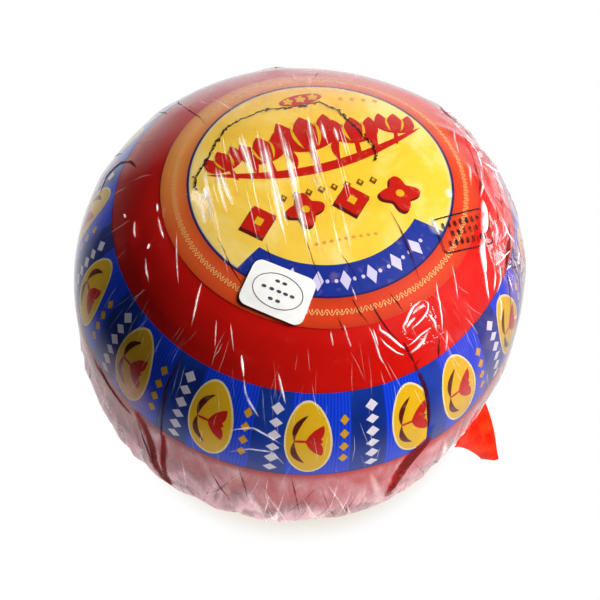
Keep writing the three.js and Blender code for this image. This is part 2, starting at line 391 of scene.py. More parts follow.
# The wax is painted darker towards the left and lighter towards the right. This is painted shade for the
# side that the lights leave dim.
WAX_SIDE_SHADE_REACH = 62 * MM
# Where film clings to a surface, the film's face gives the gloss and little is left underneath.
CLUNG_GLOSS = 0.2

wax, tree = new_material("cheese wax, dipped, red")
place = node(tree, "TexCoord").outputs["Object"]
blotches = node(tree, "TexNoise", {"Vector": place, "Scale": 1 / WAX_BLOTCH, "Detail": 4})
depth = node(tree, "MapRange", [blotches, 0.3, 0.7])
# The two colours that a Mix node mixes are its inputs 6 and 7.
# Painted shade: the darker pair of reds goes on the left, the lighter pair on the right.
shaded_wax = node(tree, "Mix", {0: depth, 6: "#a80e09", 7: "#b8110b"}, data_type="RGBA")
lit_wax = node(tree, "Mix", {0: depth, 6: "#d8140c", 7: "#e6190f"}, data_type="RGBA")
side = node(tree, "SeparateXYZ", [place]).outputs["X"]
side_shade = node(tree, "MapRange", [side, -WAX_SIDE_SHADE_REACH, WAX_SIDE_SHADE_REACH])
colour = node(tree, "Mix", {0: side_shade, 6: shaded_wax, 7: lit_wax}, data_type="RGBA")
# Pale pink patches scattered by noise.
pale_patches = {"Vector": place, "Scale": 1 / WAX_PALE_PATCH, "Detail": 6, "Roughness": 0.7}
pale_patches = node(tree, "MapRange", [node(tree, "TexNoise", pale_patches), 0.62, 0.78, 0, 0.22])
colour = node(tree, "Mix", {0: pale_patches, 6: colour, 7: "#d9605a"}, data_type="RGBA")
pits = node(tree, "TexNoise", {"Vector": place, "Scale": 1 / WAX_PIT, "Detail": 2})
bump = node(tree, "Bump", {"Height": pits, "Strength": 0.15, "Distance": WAX_PIT_DEPTH})
shine = node(tree, "MapRange", [depth, 0, 1, 0.34, 0.46])
skin = {"Base Color": colour, "Roughness": shine, "IOR": 1.45, "Specular IOR Level": CLUNG_GLOSS}
body = node(tree, "BsdfPrincipled", {**skin, "Normal": bump})
node(tree, "OutputMaterial", {"Surface": body})

# %% [markdown]
# The cheese itself is a fine sphere of quads moved onto the ball, a little under the film. Its skin
# dips and swells by about a tenth of a millimetre, gives way a little under the two prints, and is cut
# flat where the cheese stands. A UV sphere suits it better than an icosphere, because its rings run level
# like the foot.

# %% The cheese in its coating
CHEESE_DEPTH = 0.3
PRINT_ROOM = 0.38
PRINT_MARGIN = 1.5
PRINT_FADE = 2.5
FOOT_HEIGHT = 0.45
CHEESE_SWELL = 0.06
CHEESE_SWELL_WIDTH = 38

bm = bmesh.new()
bmesh.ops.create_uvsphere(bm, u_segments=220, v_segments=130, radius=1)


def band_slip(azimuth):
    """How far the strip has slipped down the ball on the right and at the back, in degrees."""
    total = 0
    for angle, middle, reach in BAND_SLIPS:
        aside = (azimuth - middle + 180) % 360 - 180
        total = total + angle * np.exp(-((aside / reach) ** 2))
    return total


def angle_down(direction, axis):
    """Degrees of arc from an axis."""
    return np.degrees(np.arccos(np.clip(direction @ np.array(axis), -1, 1)))


def below_band(direction):
    """Degrees down from where the band's upper edge would lie if it began at the axis."""
    azimuth = np.degrees(np.arctan2(direction[:, 1], direction[:, 0]))
    return angle_down(direction, BAND_AXIS) - band_slip(azimuth)


def print_share(direction):
    """1 under the label and the band, falling to 0 just past their edges."""
    from_label = LABEL_EDGE + PRINT_MARGIN - angle_down(direction, LABEL_AXIS)
    in_band = np.minimum(below_band(direction) - BAND_TOP, BAND_BOTTOM - below_band(direction))
    return soft_step(1 + np.maximum(from_label, in_band + PRINT_MARGIN) / PRINT_FADE)


def cheese_place(direction):
    """Places on the coated cheese."""
    swell = CHEESE_SWELL * waves(direction, CHEESE_SWELL_WIDTH, seed=3)
    points = on_ball(direction, swell - CHEESE_DEPTH - PRINT_ROOM * print_share(direction))
    points[:, 2] = np.maximum(points[:, 2], FOOT_HEIGHT)
    return points


to_piece(bm, "red_cheese", wax, cheese_place, "cheese_ball")

# %% [markdown]
# The label is a disc of printed plastic film. Its print is laid out in rings round its middle: a yellow
# disc with a cream line and a dark blue line round it, and an orange rim. The flat place of each vertex
# is kept in an attribute before the disc is bent over the ball, so the rings follow the label and not
# the air round it. A UV map could hold the same, but an attribute keeps the places in true units. The
# varnish makes the print smooth and its colours deep, and the film over it takes most of the gloss.

# %% Label print
RING_SPAN = 50
RINGS = [
    (0.0, "#f9d02c"),
    (33.9, "#f9d040"),
    (34.7, "#ecd67c"),
    (34.9, "#eadfb8"),
    (35.1, "#25235a"),
    (35.6, "#1d1e5c"),
]
YELLOW_EDGE = 34.5
CLOUD_SIZE = 17 * MM
RIM_EDGE = 35.7
RIM_MIDDLE = 39.2
RIM_HEADING = (-0.5, 0.85, 0)
RIM_HUES = [(-30, "#dc421e"), (0, "#dd5828"), (18, "#de6a30"), (38, "#eca452")]

label_print, tree = new_material("polypropylene label, printed and varnished")
place = node(tree, "TexCoord").outputs["Object"]
flat = node(tree, "Attribute", attribute_name="print_place").outputs["Vector"]
radius = node(tree, "VectorMath", [flat], operation="LENGTH").outputs["Value"]
ring = node(tree, "Math", [radius, RING_SPAN], operation="DIVIDE")
colour = set_stops(node(tree, "ValToRGB", [ring]), [(reach / RING_SPAN, hue) for reach, hue in RINGS])

# The yellow is printed in soft clouds all over, and painted paler towards the left, which stands in for the
# film's glare there.
clouds = {"Vector": place, "Scale": 1 / CLOUD_SIZE, "Detail": 5, "Roughness": 0.55, "Distortion": 0.6}
clouds = node(tree, "TexNoise", clouds)
in_disc = node(tree, "Math", [radius, YELLOW_EDGE], operation="LESS_THAN")
left_glare = node(tree, "MapRange", [node(tree, "SeparateXYZ", [flat]).outputs["X"], 25, -34, 0, 0.16])
pale_clouds_and_glare = node(tree, "MapRange", [clouds, 0.5, 0.7, 0, 0.6])
pale_clouds_and_glare = node(tree, "Math", [pale_clouds_and_glare, left_glare], operation="ADD")
pale_clouds_and_glare = node(tree, "Math", [pale_clouds_and_glare, in_disc], operation="MULTIPLY")
colour = node(tree, "Mix", {0: pale_clouds_and_glare, 6: colour, 7: "#fbf0a0"}, data_type="RGBA")
warm = node(tree, "MapRange", [clouds, 0.46, 0.3, 0, 0.4])
warm = node(tree, "Math", [warm, in_disc], operation="MULTIPLY")
colour = node(tree, "Mix", {0: warm, 6: colour, 7: "#e8b422"}, data_type="RGBA")

# The rim shades from gold at the back to red at the front, and is darker along both its edges.
to_back = node(tree, "VectorMath", [flat, RIM_HEADING], operation="DOT_PRODUCT").outputs["Value"]
low, high = RIM_HUES[0][0], RIM_HUES[-1][0]
turned = node(tree, "MapRange", [to_back, low, high])
hue_stops = [((turn - low) / (high - low), hue) for turn, hue in RIM_HUES]
rim = set_stops(node(tree, "ValToRGB", [turned]), hue_stops)
to_edge = node(tree, "Math", [radius, RIM_MIDDLE], operation="SUBTRACT")
to_edge = node(tree, "Math", [to_edge], operation="ABSOLUTE")
to_edge = node(tree, "MapRange", [to_edge, 1.2, 3.6, 0, 0.4])
rim = node(tree, "Mix", {0: to_edge, 6: rim, 7: "#b02a10"}, data_type="RGBA")
on_rim = node(tree, "Math", [radius, RIM_EDGE], operation="GREATER_THAN")
colour = node(tree, "Mix", {0: on_rim, 6: colour, 7: rim}, data_type="RGBA")

skin = {"Base Color": colour, "Roughness": 0.42, "IOR": 1.49, "Specular IOR Level": CLUNG_GLOSS}
node(tree, "OutputMaterial", {"Surface": node(tree, "BsdfPrincipled", skin)})

# %% [markdown]
# The label's disc is turned like a pot: one spoke of short edges is spun through a full circle, which
# gives rings of even faces that bend smoothly over the ball. It is thickened downwards, and only then
# laid in place.

# %% The round label
LABEL_DEPTH = 0.42
LABEL_SHEET = 0.12
LABEL_STEPS = 30
LABEL_SPOKES = 180

bm = bmesh.new()
spoke = [bm.verts.new((LABEL_EDGE * step / LABEL_STEPS, 0, 0)) for step in range(LABEL_STEPS + 1)]
edges = [bm.edges.new(pair) for pair in zip(spoke, spoke[1:])]
bmesh.ops.spin(
    bm,
    geom=spoke + edges,
    cent=(0, 0, 0),
    axis=(0, 0, 1),
    angle=2 * math.pi,
    steps=LABEL_SPOKES,
    use_merge=True,
)
bmesh.ops.remove_doubles(bm, verts=bm.verts, dist=1e-4)
bmesh.ops.recalc_face_normals(bm, faces=bm.faces)


def thicken(bm, thickness):
    """Gives a flat sheet that faces up a thickness, downwards from where it lies."""
    if sum(face.normal.z for face in bm.faces) < 0:
        bmesh.ops.reverse_faces(bm, faces=bm.faces)
    bmesh.ops.solidify(bm, geom=bm.faces[:], thickness=thickness)


def keep_flat_place(bm):
    """Stores each vertex's flat place, for the print to follow."""
    layer = bm.verts.layers.float_vector.new("print_place")
    for vert in bm.verts:
        vert[layer] = (vert.co.x, vert.co.y, 0)


thicken(bm, LABEL_SHEET)
keep_flat_place(bm)


def label_place(flat):
    """Places on the label, for a flat layout in degrees of arc."""
    return on_ball(round_flat(flat, LABEL_AXIS, LABEL_TURN), flat[:, 2] - LABEL_DEPTH)


to_piece(bm, "round_label", label_print, label_place, "top_label")

# %% [markdown]
# Printed motifs are solid areas of ink. They could be drawn in the material, but shapes cut as outlines
# keep crisp edges at any distance. Petals and leaves come from one curved leaf shape, and lozenges and
# lobed flowers from short loops.

# %% Ink shapes
def leaf(base, tip, width, bend=0.0, count=14, fullness=0.8):
    """A leaf outline from base to tip, whose middle line bows to the left by `bend`."""
    base, tip = Vector(base), Vector(tip)
    along = tip - base
    side = Vector((-along.y, along.x)).normalized()
    middle = []
    for step in range(count + 1):
        share = step / count
        bow = bend * 4 * share * (1 - share)
        half = width / 2 * math.sin(math.pi * share) ** fullness
        middle.append((base + along * share + side * bow, half))
    left = [point + side * half for point, half in middle[:-1]]
    right = [point - side * half for point, half in reversed(middle[1:])]
    return left + right


def closed_curve(centre, half_width, half_height, turn=0, lobes=0, depth=0, count=40):
    """An ellipse, or with lobes a flower, turned by an angle in degrees."""
    points = []
    for step in range(count):
        angle = 2 * math.pi * step / count
        reach = 1 + depth * math.cos(lobes * angle)
        point = Vector((half_width * reach * math.cos(angle), half_height * reach * math.sin(angle)))
        point.rotate(Matrix.Rotation(math.radians(turn), 2))
        points.append(Vector(centre) + point)
    return points


def lozenge(centre, half_width, half_height, turn=0):
    """A four-cornered diamond."""
    return closed_curve(centre, half_width, half_height, turn, count=4)


print("points in a leaf outline:", len(leaf((0, 0), (10, 0), 3)))

# %% [markdown]
# All the ink of one print is one sheet. Its shapes are cut into small cells along a grid so that they can
# bend with the ball, given a hair of thickness, and laid just over the print, a step apart where one
# covers another. A corner attribute holds each shape's ink, so one material serves every colour.

# %% A sheet of ink
INK_SHEET = 0.03
INK_STEP = 0.035
CELL = 2.6


class InkSheet:
    """Flat shapes of ink on one sheet, each on a level of its own."""

    def __init__(self):
        self.bm = bmesh.new()
        self.ink = self.bm.faces.layers.int.new("ink")
        self.inks = []

    def number(self, ink):
        """The number of an ink, which joins the list when it is new."""
        if ink not in self.inks:
            self.inks.append(ink)
        return self.inks.index(ink)

    def add(self, outline, ink, level=0):
        """Adds one outline in an ink, on a level that lies over the lower ones."""
        height = level * INK_STEP
        verts = [self.bm.verts.new((point[0], point[1], height)) for point in outline]
        face = self.bm.faces.new(verts)
        face.normal_update()
        if face.normal.z < 0:
            face.normal_flip()
        face[self.ink] = self.number(ink)

    def stroke(self, points, width, ink, level=0):
        """Adds a pen line through points."""
        height = level * INK_STEP
        sides = []
        for before, point, after in zip(points, points[1:], points[2:]):
            along = (after - before).normalized() * width / 2
            ends = [point + Vector((-along.y, along.x)), point + Vector((along.y, -along.x))]
            sides.append([self.bm.verts.new((*end, height)) for end in ends])
        for (left, right), (next_left, next_right) in zip(sides, sides[1:]):
            face = self.bm.faces.new((left, right, next_right, next_left))
            face.normal_update()
            face[self.ink] = self.number(ink)

    def cut(self, cell=CELL, end=None):
        """Cuts every shape along a square grid, so that it can bend, and off at an end along x."""
        bm = self.bm
        bmesh.ops.triangulate(bm, faces=bm.faces[:])
        for axis in (0, 1):
            places = [vert.co[axis] for vert in bm.verts]
            first = math.ceil(min(places) / cell)
            last = math.floor(max(places) / cell)
            normal = Vector((axis == 0, axis == 1, 0))
            for step in range(first, last + 1):
                geometry = bm.verts[:] + bm.edges[:] + bm.faces[:]
                bmesh.ops.bisect_plane(bm, geom=geometry, plane_co=normal * step * cell, plane_no=normal)
        if end is not None:
            geometry = bm.verts[:] + bm.edges[:] + bm.faces[:]
            ends = {"plane_co": (end, 0, 0), "plane_no": (1, 0, 0), "clear_outer": True}
            bmesh.ops.bisect_plane(bm, geom=geometry, **ends)

    def finish(self, name, material, place_of, end=None):
        """Thickens the sheet, colours its corners and lays it on the ball."""
        self.cut(end=end)
        bm = self.bm
        thicken(bm, INK_SHEET)
        colour = bm.loops.layers.float_color.new("ink_colour")
        for face in bm.faces:
            for loop in face.loops:
                loop[colour] = linear(self.inks[face[self.ink]])
        return to_piece(bm, name, material, place_of)


print(f"ink is {INK_SHEET} mm thick, in cells of {CELL}")

# %% [markdown]
# Flexographic ink is thin and matt under the film, and a little of the ground shows through in small
# weak spots. Its IOR is that of the resin that carries the pigment.

# %% Ink material
WEAK_SPOT = 3 * MM

ink, tree = new_material("flexographic ink on film")
place = node(tree, "TexCoord").outputs["Object"]
tint = node(tree, "Attribute", attribute_name="ink_colour").outputs["Color"]
weak = node(tree, "TexNoise", {"Vector": place, "Scale": 1 / WEAK_SPOT, "Detail": 4})
weak = node(tree, "MapRange", [weak, 0.58, 0.8, 0, 0.25])
tint = node(tree, "Mix", {0: weak, 6: tint, 7: "#e8b890"}, data_type="RGBA")
skin = {"Base Color": tint, "Roughness": 0.4, "IOR": 1.49, "Specular IOR Level": CLUNG_GLOSS}
node(tree, "OutputMaterial", {"Surface": node(tree, "BsdfPrincipled", skin)})

# %% [markdown]
# On the yellow stands a row of plain tulips with leaves between them, over one long curved stroke. A
# tulip could be traced as one outline, but a stem and three petals, each one leaf shape and a level
# apart, need no drawing by hand. Places are in degrees of arc from the label's middle.

# %% The tulips
RED_INK = "#c41f16"
YELLOW_INK = "#e6b81c"
# Each tulip's foot, height and lean.
TULIPS = [
    ((-21.5, 4.6), 12, -13),
    ((-11.2, 2.6), 15, -6),
    ((0.8, 1.4), 20, 0),
    ((12.8, 2.9), 15, 6),
    ((23.6, 5.6), 12, 13),
]


def tulip(sheet, base, height, lean, ink, level=1, gap_ink=None):
    """A plain three-petalled tulip on a stem, leaning by an angle in degrees."""
    turn = Matrix.Rotation(math.radians(-lean), 2)

    def at(x, y):
        return Vector(base) + turn @ Vector((x * height, y * height))

    width = 0.34 * height
    sheet.add(leaf(at(0, 0), at(0, 0.5), 0.09 * height, fullness=0.3), ink, level)
    sheet.add(leaf(at(0, 0.34), at(-0.34, 0.98), width, 0.1 * height), ink, level + 1)
    sheet.add(leaf(at(0, 0.34), at(0.34, 0.98), width, -0.1 * height), ink, level + 2)
    sheet.add(leaf(at(0, 0.3), at(0, 1.0), 0.36 * height), ink, level + 3)
    if gap_ink:
        for side in (-1, 1):
            gap = leaf(at(side * 0.1, 0.4), at(side * 0.17, 0.86), 0.05 * height, side * -0.04 * height)
            sheet.add(gap, gap_ink, level + 4)


art = InkSheet()
art.add(leaf((-29, 9.5), (32, 11.5), 3.0, -8.6, count=40, fullness=0.6), RED_INK, 1)
for foot, height, lean in TULIPS:
    tulip(art, foot, height, lean, RED_INK, 2, YELLOW_INK)
for side in (-1, 1):
    for reach in (6.2, 17.2):
        foot = (1 + side * reach, 2.6 + reach * 0.1)
        art.add(leaf(foot, (foot[0] + side * 2.2, foot[1] + 9), 2.2, side * 1.2), RED_INK, 2)
print("outlines with the tulips:", len(art.bm.faces))

# %% [markdown]
# Round the tulips lie the small motifs. Above them are a crest with three stars and a few faint
# lozenges. Below them are a row of small lozenges, a row of large lozenges and flowers with dark
# shadows, and a line of faint dots. An Array modifier would repeat one mesh, but in some of these rows
# the shape or the height changes from step to step, so each is a loop over its spacing.

# %% Small motifs on the label
DARK_RED_INK = "#5c1812"
BROWN_INK = "#7a4a1c"
FAINT_INK = "#dda23e"
CREST = (3.5, 28.6)
LOBES = (4, 0.26)

art.add(closed_curve(CREST, 6.2, 2.3, 2), RED_INK, 1)
for step in (-1, 0, 1):
    star = (CREST[0] + 3.6 * step, CREST[1] + 0.1 + 0.1 * step)
    art.add(closed_curve(star, 1.3, 1.3, 0, 5, 0.2), YELLOW_INK, 2)
for step in range(4):
    art.add(lozenge((14.5 + 3 * step, 26.2 - 0.9 * step), 0.8, 0.9), FAINT_INK, 1)

for step in range(8):
    art.add(lozenge((-11.5 + 3.6 * step, -5.2), 1.15, 1.35), BROWN_INK, 1)
    art.add(lozenge((-11.4 + 3.6 * step, -5.0), 0.5, 0.6), YELLOW_INK, 2)

for step in range(4):
    spot = (-19.6 + 13 * step, -10.2)
    shadow = (spot[0] - 0.6, spot[1] - 0.6)
    if step % 2:
        art.add(closed_curve(shadow, 4.5, 4.5, 0, *LOBES), DARK_RED_INK, 1)
        art.add(closed_curve(spot, 4.3, 4.3, 0, *LOBES), RED_INK, 2)
        art.add(closed_curve(spot, 1.1, 1.1), YELLOW_INK, 3)
    else:
        art.add(lozenge(shadow, 5.2, 5.4), DARK_RED_INK, 1)
        art.add(lozenge(spot, 4.9, 5.1), RED_INK, 2)
        art.add(lozenge(spot, 1.5, 1.6), YELLOW_INK, 3)
for step in range(9):
    art.add(lozenge((-6.5 + 2 * step, -21), 0.7, 0.55), FAINT_INK, 1)


def label_ink_place(flat):
    """Places a step over the label."""
    return on_ball(round_flat(flat, LABEL_AXIS, LABEL_TURN), flat[:, 2] - LABEL_DEPTH + INK_STEP)


art.finish("label_motifs", ink, label_ink_place)

# %% [markdown]
# The rim carries a fine gold border: one even wave all the way round, a vine in its plainest form, with
# a small leaf in each bend. The wave is a pen line through points of a sine, and the leaves are short
# six-sided curves, because there are nearly two hundred of them.

# %% The border on the rim
VINE_RADIUS = 39.0
VINE_BENDS = 96
VINE_HEIGHT = 0.65
VINE_WIDTH = 0.2
VINE_LEAF = (0.5, 0.2)
LEAF_ASIDE = 0.25
GOLD_LINE = "#ecc278"
STEPS_IN_BEND = 10


def polar_point(radius, angle):
    """A flat point at a radius and an angle in degrees."""
    return Vector((radius * math.cos(math.radians(angle)), radius * math.sin(math.radians(angle))))


vine = InkSheet()
points = []
for step in range(VINE_BENDS * STEPS_IN_BEND + 3):
    up = VINE_HEIGHT * math.sin(2 * math.pi * step / STEPS_IN_BEND)
    points.append(polar_point(VINE_RADIUS + up, 360 * step / STEPS_IN_BEND / VINE_BENDS))
vine.stroke(points, VINE_WIDTH, GOLD_LINE, 1)
for bend in range(VINE_BENDS * 2):
    angle = 360 * (bend + 0.5) / VINE_BENDS / 2
    reach = VINE_RADIUS + (LEAF_ASIDE if bend % 2 else -LEAF_ASIDE)
    vine.add(closed_curve(polar_point(reach, angle), *VINE_LEAF, angle, count=6), GOLD_LINE, 1)
vine.finish("label_border", ink, label_ink_place)

# %% [markdown]
# The blue banner lies along the lower edge of the yellow disc as an arc with notched ends, which is one
# outline: out along the inner arc, round a point, and back along the outer one. Lozenges with small dots
# between them run along it.

# %% The banner
BLUE_INK = "#1c3496"
PALE_INK = "#d8d4ee"
BANNER_INNER = 27.5
BANNER_OUTER = 35.2
BANNER_FROM = -140.5
BANNER_TO = -40.5
BANNER_TIP = 2.5
BANNER_STEPS = 40
MARK_RADIUS = 31.6
MARK_ANGLES = (-119, -106, -93, -80, -66.5, -53.5)

banner = InkSheet()
angles = [
    BANNER_FROM + (BANNER_TO - BANNER_FROM) * step / BANNER_STEPS for step in range(BANNER_STEPS + 1)
]
outline = [polar_point(BANNER_INNER, angle) for angle in angles]
outline += [polar_point(BANNER_OUTER, BANNER_TO + BANNER_TIP)]
outline += [polar_point(BANNER_OUTER, angle) for angle in reversed(angles)]
outline += [polar_point(BANNER_OUTER, BANNER_FROM - BANNER_TIP)]
banner.add(outline, BLUE_INK, 1)
for angle in MARK_ANGLES:
    banner.add(lozenge(polar_point(MARK_RADIUS, angle), 1.5, 2.5, angle + 90), PALE_INK, 2)
    for side in (-1, 1):
        dot = polar_point(MARK_RADIUS, angle + side * 4.4)
        banner.add(closed_curve(dot, 0.5, 0.5, count=12), PALE_INK, 2)
banner.finish("label_banner", ink, label_ink_place)

# %% [markdown]
# The band is a printed strip wrapped once round the ball, with its ends overlapped in the crease at the
# front right. Fine stripes, darker panels and the ground colour come from its flat layout of azimuth by
# polar angle, which is kept in the same kind of attribute as the label's.

# %% Band print
BAND_START = -66.0
BAND_END = 301.8
BAND_PERIOD = 24.45
OVAL_AT = -47.0
STRIPE_TURN = 0.9
# The dark panel's middle and half width, as shares of the pattern's period.
PANEL_MIDDLE = 0.615
PANEL_HALF = 0.185
BAND_HEM = 0.5
BAND_CLOUD = 20 * MM

band_print, tree = new_material("polypropylene band, printed and varnished")
place = node(tree, "TexCoord").outputs["Object"]
flat = node(tree, "Attribute", attribute_name="print_place").outputs["Vector"]
turn, down, _ = node(tree, "SeparateXYZ", [flat]).outputs
phase = node(tree, "Math", [turn, OVAL_AT], operation="SUBTRACT")
phase = node(tree, "Math", [phase, BAND_PERIOD], operation="DIVIDE")
phase = node(tree, "Math", [phase], operation="FRACT")
panel = node(tree, "Math", [phase, PANEL_MIDDLE], operation="SUBTRACT")
panel = node(tree, "Math", [panel], operation="ABSOLUTE")
panel = node(tree, "MapRange", [panel, PANEL_HALF - 0.002, PANEL_HALF + 0.002, 1, 0])
stripe = node(tree, "Math", [turn, 2 * math.pi / STRIPE_TURN], operation="MULTIPLY")
stripe = node(tree, "Math", [stripe], operation="SINE")
stripe = node(tree, "MapRange", [stripe, 0.2, 0.9, 0, 0.45])
royal = node(tree, "Mix", {0: stripe, 6: "#0b38d4", 7: "#3468ee"}, data_type="RGBA")
shade = node(tree, "TexNoise", {"Vector": place, "Scale": 1 / BAND_CLOUD, "Detail": 4})
shade = node(tree, "MapRange", [shade, 0.35, 0.65])
navy = node(tree, "Mix", {0: shade, 6: "#0f2c80", 7: "#1840a8"}, data_type="RGBA")
colour = node(tree, "Mix", {0: panel, 6: royal, 7: navy}, data_type="RGBA")
hem = node(tree, "Math", [down, BAND_BOTTOM - BAND_HEM], operation="GREATER_THAN")
hem = node(tree, "Math", [hem, 0.5], operation="MULTIPLY")
colour = node(tree, "Mix", {0: hem, 6: colour, 7: "#101c50"}, data_type="RGBA")
skin = {"Base Color": colour, "Roughness": 0.38, "IOR": 1.49, "Specular IOR Level": CLUNG_GLOSS}
node(tree, "OutputMaterial", {"Surface": node(tree, "BsdfPrincipled", skin)})

# %% [markdown]
# The strip itself is one long grid. A ring cut from the ball would close on itself, while the real one
# has two ends, so the grid is a little longer than a full turn and its last few degrees climb over its
# start.

# %% The printed band
BAND_SHEET = 0.12
BAND_DEPTH = 0.47
OVERLAP_RISE = 0.2
OVERLAP_CLIMB = 8
turns = BAND_END - BAND_START

bm = bmesh.new()
bmesh.ops.create_grid(bm, x_segments=360, y_segments=22, size=0.5)
width = BAND_BOTTOM - BAND_TOP
bmesh.ops.scale(bm, vec=(turns, width, 1), verts=bm.verts)
bmesh.ops.translate(bm, vec=(BAND_START + turns / 2, BAND_TOP + width / 2, 0), verts=bm.verts)
thicken(bm, BAND_SHEET)
keep_flat_place(bm)


def band_height(flat):
    """The strip's last few degrees climb over its start."""
    over = (flat[:, 0] - BAND_END) / OVERLAP_CLIMB + 2
    return flat[:, 2] - BAND_DEPTH + OVERLAP_RISE * soft_step(over)


def band_direction(flat):
    """Directions for places on the strip."""
    return leaned(towards(flat[:, 0], flat[:, 1] + band_slip(flat[:, 0])), BAND_AXIS)


def band_place(flat):
    """Places on the strip."""
    return on_ball(band_direction(flat), band_height(flat))


to_piece(bm, "printed_band", band_print, band_place, "side_band")

# %% [markdown]
# The band repeats one group of motifs: a yellow oval with a tulip lying on its side between two dark
# leaves, a short column of gold lozenges, and a long column of white ones on the dark panel. One loop
# makes all the groups, and the strip's end cuts off what runs past it.

# %% Motifs on the band
CREAM_INK = "#f0e3a2"
GOLD_INK = "#d6a21c"
WHITE_INK = "#e4e2ee"
OVAL_POLAR = 68.3
OVAL_HALF_WIDTH = 5.9
OVAL_HALF_HEIGHT = 11.2
OVAL_LEAN = -5
LAST_OVAL_SHIFT = 2.6
GROUPS = 15
GOLD_COLUMN = 0.36
WHITE_COLUMN = 0.655

strip = InkSheet()
for group in range(GROUPS):
    middle = OVAL_AT + group * BAND_PERIOD + (LAST_OVAL_SHIFT if group == GROUPS - 1 else 0)
    spot = (middle, OVAL_POLAR)
    strip.add(closed_curve(spot, OVAL_HALF_WIDTH, OVAL_HALF_HEIGHT, OVAL_LEAN), CREAM_INK, 1)
    strip.add(closed_curve(spot, OVAL_HALF_WIDTH - 0.5, OVAL_HALF_HEIGHT - 0.6, OVAL_LEAN), YELLOW_INK, 2)
    for side in (-1, 0, 1):
        tip = (middle + 3.6, OVAL_POLAR + side * 4.6)
        strip.add(leaf((middle - 0.6, OVAL_POLAR), tip, 2.9, side * -0.7), RED_INK, 3 + side + 1)
    strip.add(leaf((middle - 3.6, OVAL_POLAR), (middle, OVAL_POLAR), 0.7, 0, fullness=0.3), RED_INK, 3)
    for side in (-1, 1):
        tip = (middle - 0.4, OVAL_POLAR + side * 7.4)
        strip.add(leaf((middle - 3.4, OVAL_POLAR), tip, 1.5, side * 1.3), DARK_RED_INK, 3)
    for step in range(4):
        spot = (middle + GOLD_COLUMN * BAND_PERIOD, 62.5 + 4 * step)
        strip.add(lozenge(spot, 1.2, 1.5), GOLD_INK, 1)
    for step in range(6):
        spot = (middle + WHITE_COLUMN * BAND_PERIOD, 59.8 + 3.7 * step)
        strip.add(lozenge(spot, 1.7, 1.35 if step % 2 else 1.65), WHITE_INK, 1)


def band_ink_place(flat):
    """Places a step over the strip."""
    return on_ball(band_direction(flat), band_height(flat) + INK_STEP)


strip.finish("band_motifs", ink, band_ink_place, end=BAND_END)

# %% [markdown]
# The film is one closed skin over everything. It is tight over the label and the shoulder, gathered
# into a loose pleated skirt below the band, and crumpled at the front right and on the right. A cloth
# simulation could gather it, but shrunk film keeps no cloth's weight or stiffness, so its relief is a sum
# of soft crests along arcs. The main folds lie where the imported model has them, at a share of their
# height, because film this thin lies flatter than a solid can.

# %% Folds of the film
FOLD_KEPT = 0.4
FOLD_END_SHARE = 0.3
# Each fold's two ends, its height and its half width.
FOLDS = [
    ((28, 70), (58, 50), 1.1, 5.5),
    ((6, 74), (30, 52), 0.9, 4.5),
    ((-8, 80), (10, 58), 0.7, 4.5),
    ((-26, 64), (16, 46), 0.8, 4.5),
    ((20, 92), (40, 68), 0.7, 5),
    ((48, 88), (62, 58), 0.9, 5),
    ((-74, 40), (-57, 54), 1.2, 4.5),
    ((-46, 42), (-57, 60), 1.1, 4.5),
    ((-57, 56), (-57, 100), 1.3, 4.5),
    ((172, 44), (157, 70), 1.3, 5),
    ((136, 38), (133, 66), 1.2, 5),
    ((97, 44), (97, 66), 1.8, 4.5),
]
# Fine pleats, pulled straight: over the label, on the left, and fanning into the patch at the front.
PLEATS = [
    ((135, 24), (-168, 12), 0.3, 1.5),
    ((144, 23), (160, 14), 0.25, 1.1),
    ((121, 19), (-101, 19), 0.34, 1.6),
    ((166, 7), (-98, 16), 0.28, 1.2),
    ((102, 18), (-83, 23), 0.4, 1.9),
    ((83, 24), (-40, 9), 0.26, 1.2),
    ((61, 21), (50, 17), 0.2, 1.0),
    ((166, 24), (-150, 22), 0.26, 1.3),
    ((-171, 42), (-161, 46), 0.45, 1.0),
    ((-175, 36), (-157, 38), 0.45, 1.0),
    ((-131, 36), (-127, 43), 0.35, 0.9),
    ((-153, 43), (-146, 49), 0.35, 0.9),
    ((-160, 40), (-156, 43), 0.35, 0.8),
    ((-74, 39), (-72, 48), 0.4, 0.9),
    ((-66, 42), (-64, 55), 0.5, 0.9),
    ((-64, 41), (-57, 56), 0.6, 1.1),
    ((-62, 34), (-60, 52), 0.45, 1.0),
    ((-53, 36), (-54, 50), 0.5, 1.0),
    ((-36, 40), (-47, 60), 0.45, 0.9),
    ((-110, 43), (-106, 53), 0.3, 0.9),
    ((-96, 49), (-93, 56), 0.3, 0.9),
    ((-120, 50), (-125, 66), 0.6, 1.4),
    ((-103, 52), (-104, 72), 0.5, 1.2),
    ((-6, 46), (-24, 62), 0.6, 1.6),
    ((20, 44), (-10, 62), 0.7, 1.8),
    ((36, 42), (16, 66), 0.8, 1.8),
]


def arc_frame(start, end):
    """Start, forward and side directions of the arc between two places, and its sweep."""
    first, last = towards(*start), towards(*end)
    side = np.cross(first, last)
    side /= np.linalg.norm(side)
    return first, np.cross(side, first), side, math.acos(np.clip(first @ last, -1, 1))


def fold_lift(direction, start, end, height, width):
    """A soft crest along an arc, fading at both ends."""
    first, forward, side, sweep = arc_frame(start, end)
    across = np.arcsin(np.clip(direction @ side, -1, 1)) * BALL_RADIUS
    along = np.arctan2(direction @ forward, direction @ first) / sweep
    fade = soft_step(along / FOLD_END_SHARE) * soft_step((1 - along) / FOLD_END_SHARE)
    return height * fade * np.exp(-((across / width) ** 2))


print(len(FOLDS), "folds and", len(PLEATS), "pleats")

# %% [markdown]
# The film is loose in three places: the skirt below the band, a crumpled patch at the front right, and
# the shoulder on the right. They could be painted as vertex groups, but as functions of the direction
# they serve the film's height and its finish alike.

